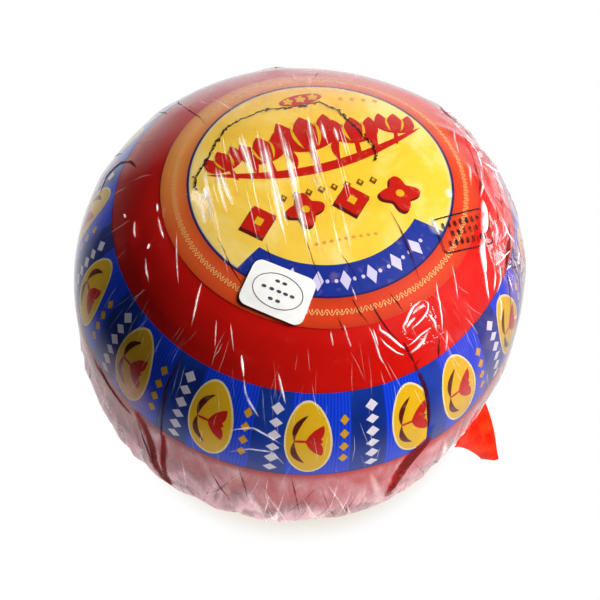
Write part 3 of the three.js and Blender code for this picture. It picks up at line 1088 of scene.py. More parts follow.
# %% Where the film is loose
SKIRT_TOP_POLAR = 84
SKIRT_FULL_POLAR = 106
FILM_END_POLAR = 151
SKIRT_CRUMPLED = 0.2
# The crumpled places, as azimuth, polar angle and reach.
PATCH = (-50, 48, 13)
SHOULDER = [(-8, 64, 15), (14, 63, 17), (34, 62, 17)]


def skirt_share(direction):
    """From 0 above the skirt to 1 where it is fullest and back to 0 round the foot."""
    polar = np.degrees(np.arccos(np.clip(direction[:, 2], -1, 1)))
    opening = soft_step((polar - SKIRT_TOP_POLAR) / (SKIRT_FULL_POLAR - SKIRT_TOP_POLAR))
    return opening * soft_step((FILM_END_POLAR - polar) / (FILM_END_POLAR - SKIRT_FULL_POLAR))


def max_of(shares):
    """The greatest of several arrays, point by point."""
    return np.maximum.reduce(list(shares))


def patch_share(direction):
    """Where the film is crumpled at the front right."""
    return np.clip(1.6 * near(direction, *PATCH), 0, 1)


def shoulder_share(direction):
    """Where the film is crumpled on the right-hand shoulder."""
    return np.clip(1.4 * max_of(near(direction, *place) for place in SHOULDER), 0, 1)


def crumple_share(direction):
    """Where the film is crumpled anywhere."""
    share = patch_share(direction) + shoulder_share(direction) + SKIRT_CRUMPLED * skirt_share(direction)
    return np.clip(share, 0, 1)


print("the skirt begins", SKIRT_TOP_POLAR, "and is fullest", SKIRT_FULL_POLAR, "degrees down from the top")

# %% [markdown]
# Where the film had more than it could shrink, it crumpled into flat facets with sharp creases between
# them. A zigzag does that where a sine would give soft hills: three of them in different headings, bent
# by slow waves, cross into facets. The skirt's gathers are zigzags too, running down the ball.

# %% Crumples and gathers
SKIRT_BULGE = 2.4
SKIRT_FULLEST_AZIMUTH = -120
SKIRT_LEAST_SHARE = 0.1
SLACK_KEPT = 0.75
GATHER_HEIGHT = 1.85
GATHERS_LEAST_SHARE = 0.25
# How many gathers there are round the whole ball.
BROAD_GATHERS = 27
NARROW_GATHERS = 45
# For the patch and the shoulder, the creases' spacing and height in each heading, and a seed.
PATCH_CREASES = ((4.2, 2.6, 3.4), (0.8, 0.4, 0.5), 34)
SHOULDER_CREASES = ((6.5, 4.2, 3.0), (0.28, 0.2, 0.14), 44)
CRUSH_HEADINGS = [Vector((0.5, 0.3, 0.8)), Vector((-0.4, 0.85, 0.35)), Vector((0.75, -0.5, 0.4))]


def zigzag(value):
    """A wave between 0 and 1 with straight flanks, so that creased film stays flat between creases."""
    return np.abs(value % 2 - 1)


def gathers(direction):
    """Height of the skirt's gathers, which run down the ball, from 0 to the full height."""
    turn = np.arctan2(direction[:, 1], direction[:, 0]) / math.pi
    down = np.degrees(np.arccos(np.clip(direction[:, 2], -1, 1)))
    broad = zigzag(BROAD_GATHERS * turn + 0.06 * down + 1.3 * waves(direction, 36, seed=21))
    narrow = zigzag(NARROW_GATHERS * turn - 0.08 * down + 1.2 * waves(direction, 26, seed=22))
    level = zigzag(0.1 * down + 9 * turn + 1.4 * waves(direction, 28, seed=23))
    return GATHER_HEIGHT * (0.65 * broad + 0.22 * narrow + 0.13 * level)


def film_height(direction):
    """How far the film stands off the taut ball."""
    azimuth = np.arctan2(direction[:, 1], direction[:, 0])
    skirt = skirt_share(direction)
    facing = (0.5 + 0.5 * np.cos(azimuth - math.radians(SKIRT_FULLEST_AZIMUTH))) ** 2
    slack = SKIRT_BULGE * (SKIRT_LEAST_SHARE + (1 - SKIRT_LEAST_SHARE) * facing) * skirt
    relief = 0
    for start, end, height, width in FOLDS:
        relief = np.maximum(relief, FOLD_KEPT * fold_lift(direction, start, end, height, width))
    gathered = gathers(direction) * (GATHERS_LEAST_SHARE + (1 - GATHERS_LEAST_SHARE) * facing)
    crumple = 0
    for share, (sizes, heights, seed) in (
        (patch_share(direction), PATCH_CREASES),
        (shoulder_share(direction), SHOULDER_CREASES),
    ):
        for size, height, heading in zip(sizes, heights, CRUSH_HEADINGS):
            place = BALL_RADIUS * (direction @ np.array(heading)) / size
            crumple += share * height * zigzag(place + 1.1 * waves(direction, 5 * size, seed))
    pleats = 0
    for start, end, height, width in PLEATS:
        pleats = np.maximum(pleats, fold_lift(direction, start, end, height, width))
    return SLACK_KEPT * slack + relief + skirt * gathered + crumple + pleats


over_label = film_height(towards([0, 120, 240], 20))
print("the film stands off the taut ball over the label by", np.round(over_label, 2), "mm")

# %% [markdown]
# Shrink film is clear, thin and hard-faced. Glass would refract as if the whole gap were solid, so the
# film is a transparent surface with a mirror on it instead. Fine pulled lines and crinkles bend the
# mirror, and where the film lies in many loose layers it scatters light and looks milky. Each vertex of
# the film holds four shares for this: how strongly it is pulled into lines, how crumpled it is, how milky
# it is, and how closely it clings.

# %% The film's material
PULLED_LINE = 3 * MM
PULLED_LINE_DEPTH = 0.1 * MM
PULL_TURN = math.radians(-10.7)
CRINKLE = 7 * MM
CRINKLE_DEPTH = 1.5 * MM
MILKY_PATCH = 11 * MM
MILKY_STREAK = 3.2 * MM
MILKY_TURN = math.radians(20)
# A face of plastic film reflects this share of the light head-on.
FACE_MIRROR = 0.04
# Where the film clings to the wax, this share of its mirror is left.
CLUNG_MIRROR = 0.15

film, tree = new_material("polyolefin shrink film, clear")
place = node(tree, "TexCoord").outputs["Object"]
state = node(tree, "Attribute", attribute_name="film_state").outputs
pull, crush, haze = node(tree, "SeparateXYZ", [state["Vector"]]).outputs

# Pulled lines are long along the pull and narrow across it.
lined = {"Vector": place, "Rotation": (0, 0, PULL_TURN), "Scale": (1, 0.1, 0.22)}
lines = {"Vector": node(tree, "Mapping", lined), "Scale": 1 / PULLED_LINE, "Detail": 2}
lines = node(tree, "Math", [node(tree, "TexNoise", lines), pull], operation="MULTIPLY")
fine = node(tree, "Bump", {"Height": lines, "Strength": 1.0, "Distance": PULLED_LINE_DEPTH})
crinkle = {"Vector": place, "Scale": 1 / CRINKLE, "Detail": 2, "Distortion": 0.8}
crinkle = node(tree, "Math", [node(tree, "TexNoise", crinkle), 0.5], operation="SUBTRACT")
crinkle = node(tree, "Math", [crinkle], operation="ABSOLUTE")
crushed = node(tree, "Math", [crush, 0.04], operation="ADD")
crinkle = node(tree, "Math", [crinkle, crushed], operation="MULTIPLY")
crinkle = {"Height": crinkle, "Strength": 1.0, "Distance": CRINKLE_DEPTH, "Normal": fine}
bump = node(tree, "Bump", crinkle)

# Both faces of the film reflect, and each reflects more at a slant, after Schlick's rule.
slant = node(tree, "LayerWeight", {"Blend": 0.5, "Normal": bump}).outputs["Facing"]
slant = node(tree, "Math", [slant, 5], operation="POWER")
one_face = node(tree, "MapRange", [slant, 0, 1, FACE_MIRROR, 1])
twice = node(tree, "Math", [one_face, 2], operation="MULTIPLY")
one_more = node(tree, "Math", [one_face, 1], operation="ADD")
mirror = node(tree, "Math", [twice, one_more], operation="DIVIDE")
loose = node(tree, "MapRange", [state["Alpha"], 0, 1, 1, CLUNG_MIRROR])
mirror = node(tree, "Math", [mirror, loose], operation="MULTIPLY")
clear = node(tree, "BsdfTransparent", {"Color": "#fdfafa"})
gloss = node(tree, "BsdfGlossy", {"Roughness": 0.07, "Normal": bump})
skin = node(tree, "MixShader", [mirror, clear, gloss])

# The milky layers lie in patches, broken up by finer streaks that run down the ball.
streaks = {"Vector": place, "Rotation": (0, 0, MILKY_TURN), "Scale": (1, 1, 0.3)}
streaks = node(tree, "Mapping", streaks)
layers = {"Vector": streaks, "Scale": 1 / MILKY_PATCH, "Detail": 2.5, "Distortion": 1.5}
layers = node(tree, "MapRange", [node(tree, "TexNoise", layers), 0.4, 0.6, 0.6, 1.25])
fine_layers = {"Vector": streaks, "Scale": 1 / MILKY_STREAK, "Detail": 3, "Roughness": 0.6, "Distortion": 1}
fine_layers = node(tree, "MapRange", [node(tree, "TexNoise", fine_layers), 0.35, 0.65, 0.75, 1.25])
layers = node(tree, "Math", [layers, fine_layers], operation="MULTIPLY")
haze = node(tree, "Math", [haze, layers], operation="MULTIPLY")
milk = node(tree, "BsdfDiffuse", {"Color": "#f6c6cc", "Normal": bump})
node(tree, "OutputMaterial", {"Surface": node(tree, "MixShader", [haze, skin, milk])})

# %% [markdown]
# The film is a fine sphere of its own, close to two hundred thousand triangles. A coarse sphere under a
# Subdivision Surface modifier would be lighter to edit, but it would round the creases that have to stay
# sharp. The film goes on under the foot, a hair over the table.

# %% The clear film
bm = bmesh.new()
bmesh.ops.create_uvsphere(bm, u_segments=440, v_segments=226, radius=1)
FILM_LEAST_HEIGHT = 0.15
film_directions = {}


def film_place(direction):
    """Places on the film, whose directions are kept for its shares."""
    film_directions["all"] = direction.copy()
    points = on_ball(direction, film_height(direction))
    points[:, 2] = np.maximum(points[:, 2], FILM_LEAST_HEIGHT)
    return points


film_piece = to_piece(bm, "clear_film", film, film_place, "clear_film")

# %% [markdown]
# Where the gathered film lies in many layers it looks milky, most of all at the front below the band. In
# a few strips it is drawn tight into a fold and stays clear. Weight painting could give each vertex its
# shares. Here they are worked out from the same functions as the film's height, so that the milk follows
# the gathers, and are stored as a colour attribute for the film's material to read.

# %% Where the film is milky
# How strongly the film is pulled into lines everywhere, and around which place it is pulled fully.
PULL_LEAST = 0.35
PULLED_PLACE = (-90, 20, 70)
direction = film_directions["all"]


def line_share(direction, places, width):
    """1 along a line through places and 0 beyond a width in millimetres from it."""
    share = 0
    for start, end in zip(places, places[1:]):
        first, forward, side, sweep = arc_frame(start, end)
        across = np.abs(np.arcsin(np.clip(direction @ side, -1, 1))) * BALL_RADIUS
        along = np.arctan2(direction @ forward, direction @ first)
        inside = (along > -0.02) & (along < sweep + 0.02)
        share = np.maximum(share, inside * soft_step((width - across) / width * 2.5))
    return share


# Places where the film lies tight and clear in the milky skirt, so that the dark wax shows.
CLEAR_STRIPS = [
    ([(-57, 76), (-59.5, 80.5), (-62.5, 85), (-65, 91), (-67, 100)], 2.2),
    ([(-132, 78.5), (-129, 86), (-127, 99.5), (-124, 112)], 1.8),
    ([(-124, 80.5), (-124.5, 91), (-124.5, 105.5), (-122, 115)], 1.5),
    ([(-150, 78), (-141.5, 79.5), (-136, 81)], 1.3),
]
# More milky places, as share and azimuth, polar angle and reach.
# The second milky place, over the band's right side, is a painted sheen: its faint milk stands in for the
# film's reflection there.
MILKY_PLACES = [(0.3, (-138, 74, 13)), (0.07, (-34, 68, 26)), (0.26, (92, 54, 44))]
SKIRT_MILKIEST_AZIMUTH = -110
opened = 0
for places, width in CLEAR_STRIPS:
    opened = np.maximum(opened, line_share(direction, places, width))
azimuth = np.degrees(np.arctan2(direction[:, 1], direction[:, 0]))
under_band = below_band(direction) - BAND_BOTTOM
to_front = (0.5 + 0.5 * np.cos(np.radians(azimuth - SKIRT_MILKIEST_AZIMUTH))) ** 3
# Milky from the band's lower edge down, and more so further down and towards the front.
milky = (0.06 + 0.34 * to_front) * soft_step((under_band + 1) / 4)
milky += (0.08 + 0.32 * to_front) * soft_step((under_band - 7) / 18)
# The gathers' crests hold most of the film's layers and the valleys between them few.
milky *= 0.5 + 1.1 * gathers(direction) / GATHER_HEIGHT
milky = np.maximum(milky, 0.2 * shoulder_share(direction))
for share, place in MILKY_PLACES:
    milky = np.maximum(milky, share * near(direction, *place))
state = np.stack(
    [
        PULL_LEAST + (1 - PULL_LEAST) * near(direction, *PULLED_PLACE),
        crumple_share(direction),
        milky * (1 - opened),
        opened + np.zeros(len(direction)),
    ],
    axis=-1,
)
attribute = film_piece.data.attributes.new("film_state", "FLOAT_COLOR", "POINT")
attribute.data.foreach_set("color", state.ravel())
print("share of the film that is milky:", round(float(np.mean(milky > 0.2)), 2))

# %% [markdown]
# Where the film is creased it catches the light, and where it is doubled over, the edge of the fold looks
# like a thin dark line. Bump alone can't give either, so both are painted: a white ribbon is a painted
# highlight, and a dark one is painted shade. Each is a narrow ribbon laid along places on the film: a grid
# whose length is spread over the line and whose middle may stand up as a ridge. An attribute keeps how far
# along and across its ribbon each vertex lies, so that the material can fade out its edges.

# %% Ribbons along the film
RIBBON_SHEET = 0.03
RIBBON_LIFT = 0.12
RIBBON_FILL = 0.98


def along_places(places, share):
    """Directions at shares of the way through places, and the sideways direction at each."""
    stops = np.linspace(0, 1, len(places))
    corner = towards([place[0] for place in places], [place[1] for place in places])

    def at(share):
        return np.stack([np.interp(share, stops, corner[:, axis]) for axis in range(3)], axis=-1)

    line = (at(share - 0.05) + 2 * at(share) + at(share + 0.05)) / 4
    line /= np.linalg.norm(line, axis=1)[:, None]
    side = np.cross(at(share + 0.04) - at(share - 0.04), line)
    return line, side / np.linalg.norm(side, axis=1)[:, None]


def film_ribbons(name, material, lines, ridge=0.0, steps=24, rise=RIBBON_LIFT):
    """Lays a ribbon along each line of places, as (places, width in millimetres, strength)."""
    bm = bmesh.new()
    for index in range(len(lines)):
        ribbon = bmesh.ops.create_grid(bm, x_segments=steps, y_segments=4, size=0.5)
        bmesh.ops.scale(bm, vec=(RIBBON_FILL, 1, 1), verts=ribbon["verts"])
        bmesh.ops.translate(bm, vec=(index + 0.5, 0, 0), verts=ribbon["verts"])
    thicken(bm, RIBBON_SHEET)
    streak = bm.verts.layers.float_vector.new("streak")
    for vert in bm.verts:
        index = math.floor(vert.co.x)
        along = (vert.co.x - index - (1 - RIBBON_FILL) / 2) / RIBBON_FILL
        vert[streak] = (along, 2 * vert.co.y, lines[index][2])

    def place_of(flat):
        direction = np.zeros_like(flat)
        lift = flat[:, 2] + rise
        for index, (places, width, _) in enumerate(lines):
            mine = np.floor(flat[:, 0]) == index
            share = (flat[mine, 0] - index - (1 - RIBBON_FILL) / 2) / RIBBON_FILL
            line, side = along_places(places, share)
            taper = np.clip(np.sin(np.pi * share), 0.04, 1) ** 0.5 * width
            direction[mine] = line + side * (flat[mine, 1] * taper / BALL_RADIUS)[:, None]
            lift[mine] += ridge * taper * (1 - 4 * flat[mine, 1] ** 2)
        direction /= np.linalg.norm(direction, axis=1)[:, None]
        return on_ball(direction, film_height(direction) + lift)

    piece = to_piece(bm, name, material, place_of)
    # Milky film lets nearly all the light through, so it casts no shadow on what lies under it.
    piece.visible_shadow = False
    return piece


print(f"ribbons are {RIBBON_SHEET} mm thick and lie {RIBBON_LIFT} mm over the film")

# %% [markdown]
# These finishes are painted light and shade. Where film is pulled over an edge it gets a white painted
# highlight, where it hangs in fine lines a soft painted glow, and where it is doubled or drawn down into a
# fold, painted dark shade. Every finish is a see-through ribbon whose share of colour fades at its edges,
# so one function makes them all.

# %% Crease finishes: painted highlights and shade
def streak_share(tree, patch_size, softness):
    """How much of a ribbon shows: faded at its sides and ends, broken up by noise."""
    streak = node(tree, "Attribute", attribute_name="streak").outputs["Vector"]
    along, across, strength = node(tree, "SeparateXYZ", [streak]).outputs
    across = node(tree, "Math", [across], operation="ABSOLUTE")
    across = node(tree, "Math", [across, 2], operation="POWER")
    sides = node(tree, "Math", [1, across], operation="SUBTRACT")
    sides = node(tree, "Math", [sides, softness], operation="POWER")
    ends = node(tree, "Math", [along, 2], operation="MULTIPLY")
    ends = node(tree, "Math", [ends, 1], operation="SUBTRACT")
    ends = node(tree, "Math", [ends], operation="ABSOLUTE")
    ends = node(tree, "Math", [ends, 3], operation="POWER")
    ends = node(tree, "Math", [1, ends], operation="SUBTRACT")
    place = node(tree, "TexCoord").outputs["Object"]
    broken = node(tree, "TexNoise", {"Vector": place, "Scale": 1 / patch_size, "Detail": 2})
    broken = node(tree, "MapRange", [broken, 0.36, 0.55, 0.3, 1])
    shown = sides
    for share in (ends, strength, broken):
        shown = node(tree, "Math", [shown, share], operation="MULTIPLY")
    return shown


def ribbon_finish(name, hex_colour, patch_size, softness=1, roughness=0.5):
    """See-through film with a colour that shows along the ribbon's middle."""
    material, tree = new_material(name)
    shown = streak_share(tree, patch_size, softness)
    skin = {"Base Color": hex_colour, "Roughness": roughness, "Specular IOR Level": CLUNG_GLOSS}
    body = node(tree, "BsdfPrincipled", skin)
    clear = node(tree, "BsdfTransparent")
    node(tree, "OutputMaterial", {"Surface": node(tree, "MixShader", [shown, clear, body])})
    return material


# The white and the soft finish are painted highlights, and the doubled and the deep finish are painted
# shade.
white_highlight = ribbon_finish("shrink film, crease with painted white highlight", "#fffafa", 5 * MM, roughness=0.22)
soft_highlight = ribbon_finish("shrink film, fine lines with painted soft highlight", "#fffdf6", 9 * MM, 2, roughness=0.9)
doubled = ribbon_finish("shrink film, doubled edge with painted shade", "#3a0c10", 6 * MM, roughness=0.6)
deep = ribbon_finish("shrink film, deep fold with painted shade", "#740706", 7 * MM, 0.4, roughness=0.5)
tight = ribbon_finish("shrink film, drawn tight over the wax", "#c00d0a", 7 * MM, 0.5, roughness=0.3)

# %% [markdown]
# Over the label the film is pulled hard one way, and its pleats catch the light in long soft streaks with a
# thin bright core, which are painted on as highlights. Noise could give streaks everywhere, but the large
# ones have places of their own, so they are a list: each line as its places, its width in millimetres and
# its strength.

# %% Painted highlight streaks over the label
LABEL_HIGHLIGHT_STREAKS = [
    ([(135, 22.5), (153, 15), (-174.5, 11.5)], 1.3, 0.75),
    ([(144, 22), (161.5, 15.5)], 0.9, 0.6),
    ([(121.5, 18), (-172.5, 6.5), (-101, 18)], 1.5, 0.9),
    ([(167, 6.5), (-119.5, 8.5), (-98.5, 15.5)], 1.0, 0.7),
    ([(102.5, 16.5), (-93.5, 3.5), (-82, 21)], 1.6, 0.95),
    ([(103.5, 22), (107.5, 10.5), (-171.5, 1.5)], 0.9, 0.6),
    ([(82.5, 24), (63.5, 10.5), (-32.5, 8)], 1.3, 0.75),
    ([(71, 21.5), (59.5, 16)], 0.9, 0.6),
    ([(61, 21.5), (48.5, 17.5)], 0.9, 0.6),
    ([(18.5, 4.5), (-31.5, 7.5)], 1.0, 0.5),
    ([(167, 21.5), (-171.5, 19), (-154.5, 18.5)], 1.2, 0.7),
    ([(165.5, 22.5), (-172.5, 20.5), (-150.5, 21)], 0.9, 0.5),
    ([(168, 25), (-150.5, 25.5)], 1.1, 0.45),
    ([(131, 23), (172, 11.5)], 0.8, 0.5),
    ([(121, 21), (-174, 8)], 0.8, 0.5),
    ([(157, 2), (-85.5, 14.5)], 0.8, 0.5),
    ([(-32, 13.5), (-57, 26)], 0.7, 0.35),
    ([(-174.5, 26), (-163.5, 26), (-152, 27)], 3.6, 0.5),
    ([(-178, 24.5), (-167, 24.5)], 1.6, 0.9),
    ([(-13.5, 36), (-20, 39.5)], 3.4, 0.35),
    ([(2, 39.5), (-2, 40.5)], 1.8, 0.7),
]
print(len(LABEL_HIGHLIGHT_STREAKS), "streaks")

# %% [markdown]
# The large creases are listed in the same way, because each is a shape of its own: short ticks on the red,
# lines across the band, a fan out of the crumpled patch, and thick folds down the shoulder.

# %% Large creases, painted white as highlights
CREASES = [
    # on the red to the left
    ([(-171, 43.5), (-164, 44)], 0.9, 1.0),
    ([(-174.5, 37), (-170, 37)], 0.8, 1.0),
    ([(-168, 37), (-157, 37.5)], 0.9, 1.0),
    ([(-158.5, 41), (-157, 42)], 0.8, 0.9),
    ([(-155, 43.5), (-146.5, 46)], 0.8, 0.45),
    ([(-156.5, 34), (-137.5, 41)], 0.6, 0.4),
    ([(-130.5, 37), (-128, 41), (-125, 47)], 0.8, 0.6),
    ([(-107, 48), (-105, 53)], 0.9, 1.0),
    ([(-113.5, 42), (-109.5, 48)], 0.6, 0.4),
    ([(-118.5, 42.5), (-115.5, 48.5)], 0.6, 0.35),
    ([(-176, 46.5), (-174, 46)], 0.8, 0.8),
    # across the band
    ([(-105, 53), (-104, 56), (-102, 59), (-99.5, 62)], 0.9, 0.4),
    ([(-95.5, 50.5), (-94.5, 53.5), (-93, 58)], 0.9, 0.5),
    ([(-107.5, 68), (-104, 65.5), (-100.5, 65), (-97.5, 66.5), (-93.5, 69)], 0.8, 0.4),
    ([(-107, 74.5), (-101.5, 71.5), (-96, 71.5), (-93, 76)], 0.8, 0.4),
    # fanning out of the crumpled place
    ([(-73.5, 41), (-73.5, 44), (-73, 46.5)], 0.7, 0.9),
    ([(-65.5, 43), (-65.5, 46.5), (-65.5, 50.5), (-65, 52.5)], 0.6, 0.8),
    ([(-63.5, 46.5), (-62.5, 48.5), (-60.5, 51), (-58.5, 52.5)], 0.6, 0.8),
    ([(-62, 43.5), (-62.5, 45), (-61, 46.5), (-59, 49.5), (-57.5, 51.5)], 0.9, 0.9),
    ([(-64.5, 44), (-65, 48)], 0.7, 0.7),
    ([(-65.5, 33.5), (-66, 37)], 0.6, 0.5),
    ([(-78.5, 42), (-78.5, 45.5)], 0.7, 0.4),
    # the crumpled place itself
    ([(-55.5, 48.5), (-55.5, 46.5), (-52.5, 45.5), (-49, 44.5), (-44.5, 44.5)], 0.9, 1.0),
    ([(-44.5, 44.5), (-43.5, 46), (-45, 47), (-48, 47.5), (-51, 48), (-54, 48.5)], 0.6, 0.9),
    ([(-50.5, 45.5), (-47.5, 45.3), (-45, 45.7)], 1.1, 0.8),
    ([(-55, 47), (-52.5, 46.7), (-50, 46.5)], 1.0, 0.7),
    ([(-57.5, 51), (-51.5, 50.5), (-48, 50.5), (-47.5, 51)], 0.6, 1.0),
    ([(-57, 53), (-53, 52), (-48.5, 51)], 1.0, 0.9),
    ([(-46, 47.5), (-45.5, 50), (-46.5, 52.5)], 0.8, 1.0),
    # to the right of it
    ([(-35.5, 44), (-41.5, 48.5), (-45, 53.5)], 0.6, 0.8),
    ([(-43.5, 53.5), (-46.5, 58)], 0.6, 0.7),
    ([(-26.5, 45), (-34.5, 51.5)], 0.6, 0.4),
    # down the right-hand shoulder
    ([(2, 49.5), (-3, 50), (-8, 50.3), (-10.7, 49.8)], 3.0, 1.0),
    ([(-9, 49.6), (-15.3, 50.9), (-19, 53), (-21.3, 54.5)], 2.2, 1.0),
    ([(-19, 53), (-21.3, 54.5), (-24.3, 56.9), (-26, 59)], 1.0, 0.9),
    ([(15.5, 52.2), (8.7, 50.2), (2, 48.9)], 0.7, 0.7),
    ([(-17.3, 55.5), (-14.8, 57.1), (-11.6, 58.6), (-11.7, 56.8), (-12.6, 55.5)], 0.7, 0.9),
    ([(-3, 53), (-6, 54.5), (-9, 54)], 0.8, 0.9),
    ([(0, 56), (-4, 57.5), (-8, 56.5)], 0.7, 0.8),
    ([(28.5, 51.5), (21, 54), (13.5, 52.5)], 0.8, 0.7),
    ([(35, 53), (29, 55), (22, 56.5)], 1.2, 0.6),
    ([(16, 47.5), (5, 46.5)], 0.8, 0.35),
    ([(-18, 56), (-23, 59)], 0.7, 0.7),
    ([(30, 49), (18.5, 46)], 0.8, 0.35),
]
print(len(CREASES), "large creases")

# %% [markdown]
# Between them lie hundreds of fine lines that look alike everywhere. A particle system could scatter
# them, but seeded random numbers, with the lengths, headings and widths of real ones, come out the same
# every time and leave the strips of clear film free.

# %% Seeded lines
PULL_HEADING = Vector(towards(-79.3, 90)[:2])


def clear_of_strips(lines):
    """The lines that keep away from the places where the film lies clear."""
    kept = []
    for line in lines:
        spots = towards([place[0] for place in line[0]], [place[1] for place in line[0]])
        if max(np.max(line_share(spots, places, width + 1)) for places, width in CLEAR_STRIPS) < 0.1:
            kept.append(line)
    return kept


def scattered(draw, count, azimuths, polars, heading, turn, length, width, strength):
    """Seeded short lines in a field: places in degrees, headings from straight down the ball."""
    lines = []
    for _ in range(count):
        azimuth, polar = draw.uniform(*azimuths), draw.uniform(*polars)
        way = math.radians(heading + draw.uniform(-turn, turn))
        curl = math.radians(draw.uniform(-turn, turn) * 0.7)
        reach = draw.uniform(*length)
        places = [(azimuth, polar)]
        for _ in range(2):
            azimuth += reach / 2 * math.sin(way) / math.sin(math.radians(polar))
            polar += reach / 2 * math.cos(way)
            places.append((azimuth, polar))
            way += curl
        lines.append((places, draw.uniform(*width), draw.uniform(*strength)))
    return lines


def pulled(draw, count, width, strength):
    """Seeded fine lines over the label, all along the pull of the film."""
    lines = []
    for _ in range(count):
        start = Vector((draw.uniform(-30, 14), draw.uniform(-14, 26)))
        end = start + draw.uniform(8, 24) * PULL_HEADING
        places = []
        for share in (0, 0.5, 1):
            spot = start.lerp(end, share)
            polar = math.degrees(math.atan2(spot.length, HEIGHT_SHARE * BALL_RADIUS))
            places.append((math.degrees(math.atan2(spot.y, spot.x)), polar))
        lines.append((places, draw.uniform(*width), draw.uniform(*strength)))
    return lines


draw = random.Random(5)
print("the film's pull runs along", [round(part, 2) for part in PULL_HEADING])

# %% [markdown]
# Each group of lines becomes one piece with one finish, and all of them here are painted highlights. The
# creases stand up as small ridges that are painted white where the light would catch them, and the glows
# lie flat. The streaks over the label are laid twice: a wide soft glow, and over it the thin bright core.
# The short white lines on the red and on the band are painted glints.

# %% White creases: painted highlights
fine_highlight_lines = pulled(draw, 34, (0.25, 0.5), (0.25, 0.6))
skirt_crease_highlights = scattered(draw, 90, (-180, 180), (80, 104), 0, 18, (12, 32), (0.3, 0.8), (0.15, 0.55))
skirt_highlight_glows = scattered(draw, 60, (-180, 180), (84, 108), 0, 20, (14, 32), (2, 6), (0.15, 0.45))
shoulder_crease_highlights = scattered(draw, 48, (-22, 60), (54, 76), 10, 60, (3, 10), (0.3, 1.1), (0.4, 1.0))
# Painted glints: short white lines on the red and on the band.
red_painted_glints = scattered(draw, 80, (-176, -30), (44, 58), 0, 16, (4, 11), (0.15, 0.3), (0.06, 0.3))
band_painted_glints = scattered(draw, 50, (-176, -30), (58, 80), 0, 20, (4, 12), (0.2, 0.4), (0.06, 0.25))
back_crease_highlights = scattered(draw, 18, (64, 190), (30, 76), 0, 22, (4, 14), (0.3, 0.6), (0.15, 0.4))
highlight_glows = [(places, 1.7 * width + 0.5, 0.4 * strength) for places, width, strength in LABEL_HIGHLIGHT_STREAKS]
highlight_cores = [(places, 0.5 * width, strength) for places, width, strength in LABEL_HIGHLIGHT_STREAKS]
film_ribbons("film_streak_highlights", soft_highlight, highlight_glows)
film_ribbons("film_streak_highlight_cores", soft_highlight, highlight_cores + fine_highlight_lines, rise=2 * RIBBON_LIFT)
film_ribbons("film_painted_glints", soft_highlight, red_painted_glints + band_painted_glints, steps=8, rise=3 * RIBBON_LIFT)
film_ribbons("film_crease_highlights", white_highlight, CREASES, ridge=0.32)
film_ribbons("film_skirt_crease_highlights", white_highlight, clear_of_strips(skirt_crease_highlights), ridge=0.12, steps=20)
film_ribbons("film_skirt_highlight_glows", soft_highlight, clear_of_strips(skirt_highlight_glows), steps=16)
film_ribbons("film_small_crease_highlights", white_highlight, shoulder_crease_highlights + back_crease_highlights, ridge=0.3, steps=10)

# %% [markdown]
# Two kinds of dark fold show from a step away: deep ones, where the film dives down into a fold and its
# darkness is painted shade over the wax, and tight ones over the shoulder, where it is drawn so close that
# the red shines through.

# %% Dark folds, the deep ones painted shade
SHADED_DEEP_FOLDS = [
    ([(-56.5, 78), (-59.5, 82), (-62.5, 86), (-65, 92), (-67.5, 101)], 5.6, 1.0),
    ([(-56, 79.5), (-60, 84), (-64, 91), (-67, 100)], 3.2, 1.0),
    ([(-131, 76), (-129, 83), (-127.5, 92), (-126.5, 100), (-124, 112)], 3.0, 1.0),
    ([(-130, 82), (-128, 92), (-126, 104)], 1.6, 1.0),
    ([(-124, 78), (-124.5, 91), (-124.5, 105.5), (-122, 115)], 2.2, 1.0),
    ([(-150, 78), (-141.5, 79.5), (-136, 81)], 2.0, 0.9),
    ([(43, 57), (39, 55.8), (34, 56)], 2.4, 1.0),
    ([(38, 57), (33, 58), (29, 60)], 1.4, 0.9),
    ([(0, 59.6), (-6.5, 59.4), (-11.5, 60), (-18, 60.8)], 2.4, 0.9),
    ([(21, 51.5), (14.5, 50), (8, 49.2), (2, 48.6)], 1.0, 0.7),
]
TIGHT_FOLDS = [
    ([(31, 52.5), (26, 51.5), (21, 51.5), (14.5, 50)], 1.0, 0.7),
    ([(20, 53.5), (14, 53.8), (9, 53.3), (2.5, 54)], 2.8, 0.9),
    ([(2.5, 54), (0.5, 54), (-4, 54.6)], 1.2, 0.8),
    ([(34, 55), (27, 57), (20, 58)], 2.0, 0.8),
    ([(14, 58), (6, 57.5), (-1, 57)], 1.6, 0.8),
]
film_ribbons("film_deep_fold_shade", deep, SHADED_DEEP_FOLDS)
film_ribbons("film_tight_folds", tight, TIGHT_FOLDS)

# %% [markdown]
# The edge of a doubled fold looks like a thin dark line, which is painted shade. The long ones are listed,
# and the short ones come from the same seeded draws as the white creases.

